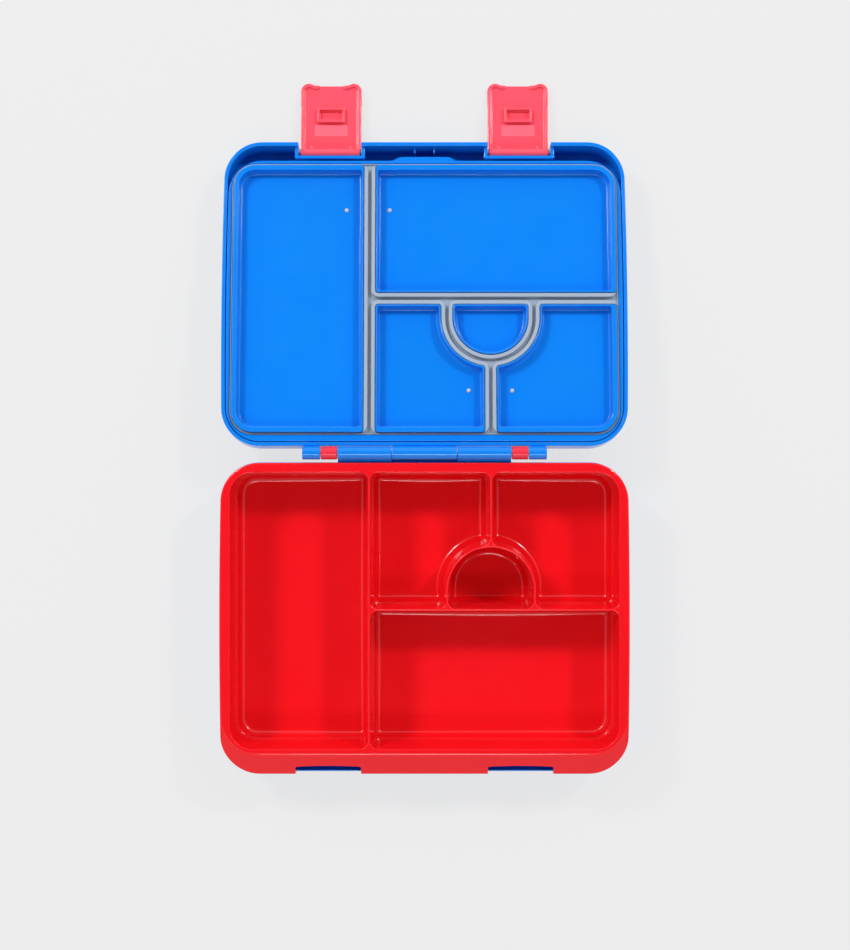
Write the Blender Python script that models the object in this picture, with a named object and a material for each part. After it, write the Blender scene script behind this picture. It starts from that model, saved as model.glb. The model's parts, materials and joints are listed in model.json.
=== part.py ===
"""Bento lunch box: a base, a lift-out tray in compartments, a hinged lid with a seal plate, two latches.

The frame has its origin at the middle of the base's underside, +X to the right and +Y towards the hinge.
Lid pieces are drawn in their closed place and hang on an empty on the hinge axis, which is turned open.
"""

import math
from collections import namedtuple

import bmesh
import bpy
import numpy as np
from mathutils import Matrix

MM = 0.001

# Plan of the box at its rim
BOX_WIDTH = 216.0 * MM
BOX_LENGTH = 164.5 * MM
CORNER_RADIUS = 20.0 * MM
SIDE_BOW = 1.0 * MM

# Tray
TRAY_DEPTH = 34.0 * MM
TRAY_FLOOR = 1.8 * MM
TRAY_WALL = 1.4 * MM
TRAY_DRAFT = math.radians(4.0)
TRAY_FILLET = 4.0 * MM
RIM_THICKNESS = 2.0 * MM
RIM_SIDE = 5.5 * MM
RIM_BACK = 5.25 * MM
RIM_FRONT = 13.9 * MM
RIM_EDGE = 0.8 * MM
APRON_RUN = 10.7 * MM
APRON_DROP = 4.5 * MM
APRON_LEAD = 23.6 * MM
OPENING_RADIUS = 12.0 * MM

# Dividers of the tray
DIVIDER_TOP = 1.0 * MM
DIVIDER_FILLET = 4.2 * MM
LEAST_FILLET = 1.4 * MM
LONG_DIVIDER_X = -29.2 * MM
CROSS_DIVIDER_Y = 4.9 * MM
ARCH_X = 35.0 * MM
ARCH_RADIUS = 23.1 * MM
ARCH_LEG = 10.25 * MM

# Base
BASE_WALL = 1.8 * MM
BASE_FLOOR = 2.0 * MM
BASE_TAPER = 1.5 * MM
BASE_FILLET = 5.0 * MM
BASE_REVEAL = 0.2 * MM
FLOOR_GAP = 0.6 * MM
FIT_GAP = 0.3 * MM

# Lid shell
LID_HEIGHT = 16.0 * MM
LID_WALL = 2.0 * MM
LID_TOP = 2.0 * MM
LID_FILLET = 4.0 * MM
LID_BACK_OVERHANG = 1.3 * MM
LID_FRONT_SETBACK = 2.0 * MM
LID_INNER_FILLET = 2.0 * MM
RIB_SPREAD = 10.4 * MM
RIB_THICKNESS = 1.0 * MM
RIB_DEPTH = 2.6 * MM

# Seal plate in the lid
PLATE_GAP = 0.4 * MM
PLATE_FRONT_LAP = 2.5 * MM
PLATE_WEB = 1.6 * MM
PLATE_LIFT = 2.0 * MM
SKIRT_CLEAR = 0.6 * MM
SKIRT_GROOVE = 0.8 * MM
PLUG_REACH = 2.0 * MM
PLUG_RIM_INSET = 0.55 * MM
PLUG_DIVIDER_INSET = 2.8 * MM
RIM_RIDGE = 2.6 * MM
DIVIDER_RIDGE = 0.9 * MM
PAN_DEPTH = 7.0 * MM
PAN_FLOOR = 1.6 * MM
PAN_DRAFT = math.radians(4.0)
PAN_FILLET = 1.2 * MM
TAB_BASE = 36.0 * MM
TAB_END = 25.0 * MM
TAB_REACH = 2.1 * MM
TAB_THICKNESS = 1.2 * MM

# Silicone seal
SEAL_THICKNESS = 1.2 * MM
SEAL_OVERLAP = 0.5 * MM
LIP_REACH = 1.5 * MM

# Pegs between the seal plate and the lid
PEG_RADIUS = 0.8 * MM
PEG_HEAD_RADIUS = 1.15 * MM
PEG_HEAD = 0.5 * MM
PEG_LENGTH = 5.0 * MM
PEG_SPREAD = 23.0 * MM
FRONT_PEG_X = -30.3 * MM
FRONT_PEG_Y = -44.6 * MM
BACK_PEG_Y = 53.4 * MM
BOSS_RADIUS = 2.5 * MM

# Hinge
HINGE_OFFSET = 5.15 * MM
HINGE_DROP = 0.4 * MM
BARREL_RADIUS = 3.5 * MM
ROD_RADIUS = 1.2 * MM
ROD_GAP = 0.1 * MM
ROD_GRIP = 12.0 * MM
CENTRE_KNUCKLE = 34.0 * MM
BASE_KNUCKLE = 28.3 * MM
COLLAR_LENGTH = 8.6 * MM
OUTER_KNUCKLE = 9.4 * MM
BRACKET_DEPTH = 8.0 * MM
BRACKET_BEHIND = 1.9 * MM
RAIL_THICKNESS = 1.4 * MM
NECK_RISE = 2.8 * MM
NECK_SHOULDER = 0.8 * MM

# Latches
LATCH_X = 50.8 * MM
LATCH_WIDTH = 33.2 * MM
LATCH_REACH = 40.7 * MM
LATCH_SKIN = 1.7 * MM
LATCH_RIM = 2.0 * MM
LATCH_RIM_HEIGHT = 1.4 * MM
LATCH_CORNER = 4.5 * MM
LATCH_BARREL = 2.3 * MM
EAR_RISE = 1.05 * MM
EAR_WIDTH = 8.0 * MM
TIP_GAP = 12.7 * MM
ROOT_CORNER = 1.6 * MM
PIVOT_HEIGHT = 4.5 * MM
LATCH_PIN_RADIUS = 1.0 * MM
LATCH_SIDE_GAP = 0.7 * MM
POCKET_DEPTH = 6.7 * MM
POCKET_WALL = 1.5 * MM
HOOK_WIDTH = 14.8 * MM
HOOK_HEIGHT = 8.2 * MM
HOOK_DEPTH = 2.8 * MM
HOOK_WALL = 1.2 * MM
HOOK_LEDGE = 1.8 * MM
CATCH_DISTANCE = 18.5 * MM
CATCH_THICKNESS = 2.6 * MM
RECESS_DEPTH = 4.2 * MM
RECESS_FLOOR = 2.0 * MM

# Fineness of the round stretches
CORNER_STEPS = 7
SIDE_STEPS = 6
FILLET_STEPS = 3
ARCH_STEPS = 10
ROUND_STEPS = 24
TIP_STEPS = 28
SHARP_ANGLE = math.radians(35.0)
CUT_OVERRUN = 2.0 * MM
JOIN_OVERLAP = 0.6 * MM

# Heights and places that follow from the sizes above
HALF_WIDTH = BOX_WIDTH / 2 - SIDE_BOW
FRONT = -BOX_LENGTH / 2
BACK = BOX_LENGTH / 2
FLOOR_Z = BASE_FLOOR + FLOOR_GAP + TRAY_FLOOR
RIM_Z = FLOOR_Z + TRAY_DEPTH
HINGE_Y = BACK + HINGE_OFFSET
HINGE_Z = RIM_Z - HINGE_DROP
OPENING_HALF = BOX_WIDTH / 2 - RIM_SIDE
OPENING_FRONT = FRONT + RIM_FRONT
OPENING_BACK = BACK - RIM_BACK
LID_FRONT = FRONT + LID_FRONT_SETBACK
LID_BACK = BACK + LID_BACK_OVERHANG
LID_BOTTOM = RIM_Z + FIT_GAP
LID_CEILING = LID_BOTTOM + LID_HEIGHT - LID_TOP
LID_DROP_SHARE = 1 - (LID_FRONT_SETBACK + LID_WALL) / APRON_RUN
WEB_BOTTOM = RIM_Z + PLATE_LIFT
PAN_BOTTOM = RIM_Z - PLUG_REACH
PAN_CEILING = PAN_BOTTOM + PAN_DEPTH
PAN_TOP = PAN_CEILING + PAN_FLOOR
SEAL_TOP = WEB_BOTTOM - FIT_GAP
RECESS_WIDTH = LATCH_WIDTH + 2 * LATCH_SIDE_GAP
RECESS_Y = FRONT + RECESS_DEPTH
PIVOT_Y = LID_FRONT + POCKET_DEPTH - LATCH_BARREL - FIT_GAP
PIVOT_Z = RIM_Z + PIVOT_HEIGHT
SKIN_Y = FRONT - BASE_REVEAL - FIT_GAP
CATCH_BOTTOM = PIVOT_Z - CATCH_DISTANCE + FIT_GAP
CATCH_FRONT = SKIN_Y + LATCH_RIM_HEIGHT + FIT_GAP
SIDES = {"left": -1, "right": 1}

# Colours are linear values of the moulded plastics, steel and silicone
Finish = namedtuple("Finish", "colour roughness metallic")
BLUE = Finish((0.010, 0.22, 0.90), 0.28, 0.0)
RED = Finish((0.86, 0.010, 0.018), 0.22, 0.0)
LATCH_RED = Finish((0.95, 0.07, 0.10), 0.30, 0.0)
GREY = Finish((0.26, 0.32, 0.40), 0.60, 0.0)
PALE = Finish((0.70, 0.74, 0.80), 0.45, 0.0)
STEEL = Finish((0.56, 0.57, 0.58), 0.30, 1.0)


# Points of an outline, in the plan of the box


def box_outline(half_width, front, back, radius, bow=0.0):
    """A rounded rectangle, anticlockwise from the front right corner, whose sides bow out by bow."""
    left, right = -half_width + radius, half_width - radius
    low, high = front + radius, back - radius
    turn = np.linspace(0.0, math.pi / 2, CORNER_STEPS + 1)
    along = np.linspace(low, high, SIDE_STEPS + 1)[1:-1]
    points = []
    for x, y, start in ((right, low, -90), (right, high, 0), (left, high, 90), (left, low, 180)):
        angle = turn + math.radians(start)
        points.append(np.column_stack([x + radius * np.cos(angle), y + radius * np.sin(angle)]))
        if start == -90:
            points.append(np.column_stack([np.full_like(along, half_width), along]))
        if start == 90:
            points.append(np.column_stack([np.full_like(along, -half_width), along[::-1]]))
    outline = np.concatenate(points)
    across = outline[:, 0] / half_width
    lengthwise = (outline[:, 1] - (front + back) / 2) / ((back - front) / 2)
    outline[:, 0] += bow * across * (1 - lengthwise**2)
    return outline


def rim_outline(inset):
    """The box's outer edge, moved inwards all round."""
    return box_outline(
        HALF_WIDTH - inset, FRONT + inset, BACK - inset, CORNER_RADIUS - inset, SIDE_BOW
    )


def lid_outline(inset):
    """The lid's outer edge, moved inwards all round."""
    return box_outline(
        HALF_WIDTH - inset, LID_FRONT + inset, LID_BACK - inset, CORNER_RADIUS - inset, SIDE_BOW
    )


def opening_outline(inset):
    """The edge of the tray's whole opening, moved inwards all round."""
    return box_outline(
        OPENING_HALF - inset,
        OPENING_FRONT + inset,
        OPENING_BACK - inset,
        max(OPENING_RADIUS - inset, LEAST_FILLET),
    )


def apron_drop(points):
    """How far the rim has dropped at each point: nothing at the back, all of it at the front edge."""
    share = np.clip((FRONT + APRON_LEAD - points[:, 1]) / APRON_LEAD, 0.0, 1.0)
    return APRON_DROP * share**2 * (3 - 2 * share)


# One corner of a compartment: its sharp point, its fillet, and the edge that runs on to the next corner.
# A fillet of None is a smooth join. The edge is straight unless it has a centre to run round.
Corner = namedtuple("Corner", "point fillet wall centre")


def compartments():
    """The sharp outlines of the five compartments, anticlockwise, at the level of the rim."""
    half = DIVIDER_TOP / 2
    left, right = -OPENING_HALF, OPENING_HALF
    front, back = OPENING_FRONT, OPENING_BACK
    beside = (LONG_DIVIDER_X - half, LONG_DIVIDER_X + half)
    above, below = CROSS_DIVIDER_Y + half, CROSS_DIVIDER_Y - half
    middle = (ARCH_X, CROSS_DIVIDER_Y + ARCH_LEG)
    outside, inside = ARCH_RADIUS + half, ARCH_RADIUS - half
    crown = middle[1] + math.sqrt(outside**2 - half**2)

    def corner(x, y, fillet, wall, centre=None):
        return Corner((x, y), fillet, wall, centre)

    wide, tight = OPENING_RADIUS, DIVIDER_FILLET
    return {
        "long": (
            corner(left, front, wide, "rim"),
            corner(beside[0], front, tight, "divider"),
            corner(beside[0], back, tight, "rim"),
            corner(left, back, wide, "rim"),
        ),
        "wide": (
            corner(beside[1], front, tight, "rim"),
            corner(right, front, wide, "rim"),
            corner(right, below, tight, "divider"),
            corner(beside[1], below, tight, "divider"),
        ),
        "back_left": (
            corner(beside[1], above, tight, "divider"),
            corner(ARCH_X - outside, above, tight, "divider"),
            corner(ARCH_X - outside, middle[1], None, "divider", middle),
            corner(ARCH_X - half, crown, tight, "divider"),
            corner(ARCH_X - half, back, tight, "rim"),
            corner(beside[1], back, tight, "divider"),
        ),
        "back_right": (
            corner(ARCH_X + outside, above, tight, "divider"),
            corner(right, above, tight, "rim"),
            corner(right, back, wide, "rim"),
            corner(ARCH_X + half, back, tight, "divider"),
            corner(ARCH_X + half, crown, tight, "divider", middle),
            corner(ARCH_X + outside, middle[1], None, "divider"),
        ),
        "arch": (
            corner(ARCH_X - inside, above, tight, "divider"),
            corner(ARCH_X + inside, above, tight, "divider"),
            corner(ARCH_X + inside, middle[1], None, "divider", middle),
            corner(ARCH_X - inside, middle[1], None, "divider"),
        ),
    }


# An edge moved inwards. A straight one has a point and a direction, a round one a centre and a radius.
Edge = namedtuple("Edge", "point direction centre radius turn")


def edge_between(corner, following, inset):
    start, end = np.array(corner.point), np.array(following.point)
    if corner.centre is None:
        direction = (end - start) / np.linalg.norm(end - start)
        inwards = np.array([-direction[1], direction[0]])
        return Edge(start + inset * inwards, direction, None, None, None)
    centre = np.array(corner.centre)
    first, second = start - centre, end - centre
    # A half turn has no sense of its own, and here it is always the arch seen from inside
    turn = 1.0 if first[0] * second[1] - first[1] * second[0] > -1e-12 else -1.0
    return Edge(None, None, centre, np.linalg.norm(first) - turn * inset, turn)


def meeting_point(edge, other, near):
    """Where two edges, straight or round, cross nearest to a given point."""
    if edge.centre is None and other.centre is None:
        matrix = np.column_stack([edge.direction, -other.direction])
        return edge.point + np.linalg.solve(matrix, other.point - edge.point)[0] * edge.direction
    line, circle = (edge, other) if edge.centre is None else (other, edge)
    foot = foot_on(line, circle.centre)
    half_chord = math.sqrt(max(circle.radius**2 - np.sum((foot - circle.centre) ** 2), 0.0))
    ends = [foot + sign * half_chord * line.direction for sign in (-1, 1)]
    return min(ends, key=lambda end: np.sum((end - near) ** 2))


def foot_on(edge, point):
    """The point of an edge nearest to a given point."""
    if edge.centre is None:
        return edge.point + np.dot(point - edge.point, edge.direction) * edge.direction
    away = point - edge.centre
    return edge.centre + edge.radius * away / np.linalg.norm(away)


def arc(centre, start, end, turn, steps):
    """Points round a centre from start to end, both included. A turn of 1 is anticlockwise."""
    first = math.atan2(start[1] - centre[1], start[0] - centre[0])
    last = math.atan2(end[1] - centre[1], end[0] - centre[0])
    sweep = (turn * (last - first)) % (2 * math.pi)
    angle = first + turn * np.linspace(0.0, sweep, steps + 1)
    radius = np.linspace(np.hypot(*(start - centre)), np.hypot(*(end - centre)), steps + 1)
    return np.column_stack([centre[0] + radius * np.cos(angle), centre[1] + radius * np.sin(angle)])


def compartment_outline(corners, rim_inset, divider_inset):
    """A compartment's outline with filleted corners, its edges moved inwards by what their wall asks."""
    insets = {"rim": rim_inset, "divider": divider_inset}
    count = len(corners)
    arrivals, departures, fillets = [], [], []
    for index, corner in enumerate(corners):
        before, after = corners[index - 1], corners[(index + 1) % count]
        inset_before, inset_after = insets[before.wall], insets[corner.wall]
        if corner.fillet is None:
            edges = (
                edge_between(before, corner, inset_before),
                edge_between(corner, after, inset_after),
            )
            straight, round_one = edges if edges[0].centre is None else edges[::-1]
            join = foot_on(straight, round_one.centre)
            arrivals.append(join)
            departures.append(join)
            fillets.append(None)
            continue
        radius = max(corner.fillet - max(inset_before, inset_after), LEAST_FILLET)
        centre = meeting_point(
            edge_between(before, corner, inset_before + radius),
            edge_between(corner, after, inset_after + radius),
            np.array(corner.point),
        )
        arrivals.append(foot_on(edge_between(before, corner, inset_before), centre))
        departures.append(foot_on(edge_between(corner, after, inset_after), centre))
        fillets.append(centre)
    points = []
    for index, corner in enumerate(corners):
        after = (index + 1) % count
        if fillets[index] is not None:
            points.append(arc(fillets[index], arrivals[index], departures[index], 1, CORNER_STEPS))
        if corner.centre is not None:
            edge = edge_between(corner, corners[after], insets[corner.wall])
            round_part = arc(edge.centre, departures[index], arrivals[after], edge.turn, 2 * ARCH_STEPS)
            points.append(round_part[1:-1] if fillets[index] is not None else round_part[:-1])
        elif fillets[index] is None:
            points.append(np.array([departures[index]]))
    return np.concatenate(points)


# Objects: a part has a finish, and a helper that cuts or joins has none


def collection_named(name):
    collection = bpy.data.collections.new(name)
    bpy.context.scene.collection.children.link(collection)
    return collection


def make_material(name, finish):
    material = bpy.data.materials.new(name)
    material.use_nodes = True
    shader = material.node_tree.nodes["Principled BSDF"]
    shader.inputs["Base Color"].default_value = (*finish.colour, 1.0)
    shader.inputs["Roughness"].default_value = finish.roughness
    shader.inputs["Metallic"].default_value = finish.metallic
    return material


def hang(thing, axis):
    """Makes a thing that is drawn in its closed place move with an axis that hasn't been turned yet."""
    thing.parent = axis
    thing.matrix_parent_inverse = axis.matrix_basis.inverted()


def make_axis(name, place, axis=None):
    """An empty on a joint's axis, placed as in the closed box."""
    empty = bpy.data.objects.new(name, None)
    empty.empty_display_size = BARREL_RADIUS
    bpy.data.collections["bento_lunch_box"].objects.link(empty)
    empty.location = place
    if axis:
        hang(empty, axis)
    return empty


def make_object(name, mesh, finish=None, axis=None):
    thing = bpy.data.objects.new(name, mesh)
    group = "bento_lunch_box" if finish else "cutters"
    bpy.data.collections[group].objects.link(thing)
    if finish:
        mesh.materials.append(make_material(name, finish))
    else:
        thing.hide_render = True
        thing.display_type = "WIRE"
    if axis:
        hang(thing, axis)
    return thing


def boolean(thing, other, operation):
    modifier = thing.modifiers.new(f"{operation.lower()} {other.name}", "BOOLEAN")
    modifier.operation = operation
    modifier.object = other


def smooth(mesh):
    mesh.shade_smooth()
    mesh.set_sharp_from_angle(angle=SHARP_ANGLE)
    return mesh


def loft(name, rings):
    """A closed solid through rings of as many points each, with its first and last ring filled."""
    shape = bmesh.new()
    loops = [[shape.verts.new(point) for point in ring] for ring in rings]
    for lower, upper in zip(loops, loops[1:]):
        for index in range(len(lower)):
            after = (index + 1) % len(lower)
            shape.faces.new((lower[index], lower[after], upper[after], upper[index]))
    shape.faces.new(loops[0][::-1])
    shape.faces.new(loops[-1])
    bmesh.ops.recalc_face_normals(shape, faces=shape.faces)
    mesh = bpy.data.meshes.new(name)
    shape.to_mesh(mesh)
    shape.free()
    return smooth(mesh)


def lift(outline, height):
    """An outline as points in space, at one height or at a height for each point."""
    return np.column_stack([outline, np.broadcast_to(height, len(outline))])


def prism(name, outline, low, high):
    return loft(name, [lift(outline, low), lift(outline, high)])


def across(name, profile, start, end):
    """A profile of points in Y and Z carried along X."""
    rings = [np.column_stack([np.full(len(profile), x), profile]) for x in (start, end)]
    return loft(name, rings)


def box(name, low, high):
    """A block between two corners."""
    shape = bmesh.new()
    bmesh.ops.create_cube(shape, size=1.0)
    low, high = np.array(low), np.array(high)
    bmesh.ops.scale(shape, vec=high - low, verts=shape.verts)
    bmesh.ops.translate(shape, vec=(low + high) / 2, verts=shape.verts)
    mesh = bpy.data.meshes.new(name)
    shape.to_mesh(mesh)
    shape.free()
    return mesh


def cylinder(name, radius, start, end):
    """A round bar between two points that lie along X or along Z."""
    start, end = np.array(start), np.array(end)
    shape = bmesh.new()
    bmesh.ops.create_cone(
        shape,
        cap_ends=True,
        segments=ROUND_STEPS,
        radius1=radius,
        radius2=radius,
        depth=np.linalg.norm(end - start),
    )
    if abs(end[0] - start[0]) > abs(end[2] - start[2]):
        bmesh.ops.rotate(shape, matrix=Matrix.Rotation(math.pi / 2, 3, "Y"), verts=shape.verts)
    bmesh.ops.translate(shape, vec=(start + end) / 2, verts=shape.verts)
    mesh = bpy.data.meshes.new(name)
    shape.to_mesh(mesh)
    shape.free()
    return smooth(mesh)


def fillet_profile(radius):
    """Pairs of how far in and how far from the flat a rounded edge lies, from its wall to its flat."""
    angle = np.linspace(0.0, math.pi / 2, FILLET_STEPS + 1)
    return list(zip(radius * (1 - np.cos(angle)), radius * (1 - np.sin(angle))))


# Tray


def tray_pocket(name, corners):
    """The space in one compartment, with drafted walls and a rounded floor edge, reaching above the rim."""
    over = RIM_Z + CUT_OVERRUN
    slope = math.tan(TRAY_DRAFT)
    top = (over - RIM_Z) * -slope
    rings = [lift(compartment_outline(corners, top, top), over)]
    wall_end = (TRAY_DEPTH - TRAY_FILLET) * slope
    for inwards, above in fillet_profile(TRAY_FILLET):
        inset = wall_end + inwards
        rings.append(lift(compartment_outline(corners, inset, inset), FLOOR_Z + above))
    return loft(name, rings)


def make_tray():
    flat = box_outline(
        HALF_WIDTH - RIM_EDGE,
        FRONT + APRON_RUN,
        BACK - RIM_EDGE,
        CORNER_RADIUS - RIM_EDGE,
        SIDE_BOW,
    )
    edge = rim_outline(0.0)
    ledge = rim_outline(BASE_WALL - BASE_REVEAL + FIT_GAP)
    edge_top = RIM_Z - RIM_EDGE / 2 - apron_drop(edge)
    under = RIM_Z - RIM_THICKNESS
    slope = math.tan(TRAY_DRAFT)
    foot_z = FLOOR_Z - TRAY_FLOOR
    rings = []
    for inwards, above in reversed(fillet_profile(TRAY_FILLET + TRAY_WALL)):
        depth = RIM_Z - foot_z - above
        rings.append(lift(opening_outline(depth * slope - TRAY_WALL + inwards), foot_z + above))
    rings += [
        lift(opening_outline(RIM_THICKNESS * slope - TRAY_WALL), under),
        lift(ledge, under - apron_drop(ledge)),
        lift(edge, under - apron_drop(edge)),
        lift(edge, edge_top),
        lift(flat, RIM_Z),
    ]
    tray = make_object("tray", loft("tray", rings), RED)
    for name, corners in compartments().items():
        boolean(tray, make_object(f"pocket {name}", tray_pocket(f"pocket {name}", corners)), "DIFFERENCE")
    for side, sign in SIDES.items():
        x = sign * LATCH_X
        notch = box(
            f"tray notch {side}",
            (x - RECESS_WIDTH / 2, FRONT - CUT_OVERRUN, RIM_Z - APRON_DROP - RIM_THICKNESS - CUT_OVERRUN),
            (x + RECESS_WIDTH / 2, RECESS_Y, RIM_Z + CUT_OVERRUN),
        )
        boolean(tray, make_object(f"tray notch {side}", notch), "DIFFERENCE")


# Base


def make_base():
    def outer(inset):
        return rim_outline(inset - BASE_REVEAL)

    top_outline, inner_top = outer(0.0), outer(BASE_WALL)
    top = RIM_Z - RIM_THICKNESS - FIT_GAP
    rings = []
    for inwards, above in reversed(fillet_profile(BASE_FILLET)):
        rings.append(lift(outer(BASE_TAPER + inwards), above))
    rings += [
        lift(top_outline, top - apron_drop(top_outline)),
        lift(inner_top, top - apron_drop(inner_top)),
        lift(outer(BASE_TAPER + BASE_WALL), BASE_FLOOR + BASE_FILLET),
        lift(outer(BASE_TAPER + BASE_FILLET), BASE_FLOOR),
    ]
    base = make_object("base_shell", loft("base_shell", rings), BLUE)
    for side, sign in SIDES.items():
        add_catch(base, side, sign * LATCH_X)
        start, end = knuckle_span(1, sign)
        add_base_knuckle(base, side, start, end)
    add_hinge_rail(base)


def add_catch(base, side, x):
    """The recess that a latch lies in, with the wall behind it and the lip that its hook takes."""
    half = RECESS_WIDTH / 2
    liner_top = RIM_Z - RIM_THICKNESS - APRON_DROP - FIT_GAP
    liner_foot = BASE_FLOOR - JOIN_OVERLAP
    wall_middle = FRONT - BASE_REVEAL + BASE_WALL / 2
    profile = np.array(
        [
            (wall_middle, liner_top),
            (wall_middle + BASE_TAPER, BASE_FILLET),
            (RECESS_Y + BASE_WALL / 2, liner_foot),
            (RECESS_Y + BASE_WALL, liner_foot),
            (RECESS_Y + BASE_WALL, liner_top),
        ]
    )
    liner = across(f"recess liner {side}", profile, x - half - BASE_WALL, x + half + BASE_WALL)
    boolean(base, make_object(f"recess liner {side}", liner), "UNION")
    recess = box(
        f"recess {side}",
        (x - half, FRONT - CUT_OVERRUN, RECESS_FLOOR),
        (x + half, RECESS_Y, RIM_Z),
    )
    boolean(base, make_object(f"recess {side}", recess), "DIFFERENCE")
    catch = box(
        f"catch {side}",
        (x - half - JOIN_OVERLAP, CATCH_FRONT, CATCH_BOTTOM),
        (x + half + JOIN_OVERLAP, RECESS_Y + JOIN_OVERLAP, CATCH_BOTTOM + CATCH_THICKNESS),
    )
    boolean(base, make_object(f"catch {side}", catch), "UNION")


# Hinge


def knuckle_span(place, sign):
    """Where a piece of the barrel lies, counted outwards: centre knuckle, base, collar, outer knuckle."""
    lengths = (CENTRE_KNUCKLE / 2, BASE_KNUCKLE, COLLAR_LENGTH, OUTER_KNUCKLE)
    start = sum(lengths[:place]) + FIT_GAP * place
    return tuple(sorted((sign * start, sign * (start + lengths[place]))))


def hinge_bar(name, radius, start, end):
    return cylinder(name, radius, (start, HINGE_Y, HINGE_Z), (end, HINGE_Y, HINGE_Z))


def cut_bore(thing, name, start, end, axis=None):
    bore = hinge_bar(name, ROD_RADIUS + ROD_GAP, start, end)
    boolean(thing, make_object(name, bore, axis=axis), "DIFFERENCE")


def add_base_knuckle(base, side, start, end):
    """A barrel behind the base, on a bracket that stays clear of the lid's swing."""
    wall = BACK + BASE_REVEAL
    back = HINGE_Y + BRACKET_BEHIND
    shelf = RIM_Z - RIM_THICKNESS - 2 * FIT_GAP
    profile = np.array(
        [
            (back, HINGE_Z - 2 * FIT_GAP),
            (back, HINGE_Z - BRACKET_DEPTH / 2),
            (wall, HINGE_Z - BRACKET_DEPTH),
            (wall - BASE_WALL / 2, HINGE_Z - BRACKET_DEPTH),
            (wall - BASE_WALL / 2, shelf),
            (wall + FIT_GAP, shelf),
            (wall + 2 * FIT_GAP, HINGE_Z - 2 * FIT_GAP),
        ]
    )
    bracket = make_object(f"bracket {side}", across(f"bracket {side}", profile, start, end))
    boolean(base, bracket, "UNION")
    barrel = hinge_bar(f"base barrel {side}", BARREL_RADIUS, start, end)
    boolean(base, make_object(f"base barrel {side}", barrel), "UNION")
    cut_bore(base, f"base bore {side}", start - CUT_OVERRUN, end + CUT_OVERRUN)


def add_hinge_rail(base):
    """A shelf under the lid's centre knuckle that ties the two brackets together."""
    half_length = CENTRE_KNUCKLE / 2 + FIT_GAP + JOIN_OVERLAP
    top = HINGE_Z - BARREL_RADIUS - FIT_GAP
    rail = box(
        "hinge rail",
        (-half_length, BACK + BASE_REVEAL - BASE_WALL / 2, top - RAIL_THICKNESS),
        (half_length, HINGE_Y - JOIN_OVERLAP, top),
    )
    boolean(base, make_object("hinge rail", rail), "UNION")


def add_lid_knuckle(lid, axis, name, start, end, shoulder):
    """A barrel behind the lid, on a neck that runs into the lid's wall and has a shoulder at each end."""
    neck = box(
        f"neck {name}",
        (start + shoulder, LID_BACK - LID_WALL / 2, LID_BOTTOM + FIT_GAP),
        (end - shoulder, HINGE_Y, HINGE_Z + NECK_RISE),
    )
    boolean(lid, make_object(f"neck {name}", neck, axis=axis), "UNION")
    barrel = hinge_bar(f"lid barrel {name}", BARREL_RADIUS, start, end)
    boolean(lid, make_object(f"lid barrel {name}", barrel, axis=axis), "UNION")


def make_hinge_pins():
    """A rod through each half of the barrel, and the collar round it."""
    for side, sign in SIDES.items():
        start, end = knuckle_span(2, sign)
        name = f"hinge_collar_{side}"
        collar = make_object(name, hinge_bar(name, BARREL_RADIUS, start, end), LATCH_RED)
        cut_bore(collar, f"collar bore {side}", start - CUT_OVERRUN, end + CUT_OVERRUN)
        outer = knuckle_span(3, sign)
        far = max(outer, key=abs) - sign * FIT_GAP
        near = sign * (CENTRE_KNUCKLE / 2 - ROD_GRIP)
        name = f"hinge_rod_{side}"
        make_object(name, hinge_bar(name, ROD_RADIUS, *sorted((near, far))), STEEL)


# Lid


def lid_level(outline, extra=0.0):
    """The height of the lid's lower edge, which follows the tray's apron down at the front."""
    return LID_BOTTOM + extra - LID_DROP_SHARE * apron_drop(outline)


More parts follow.
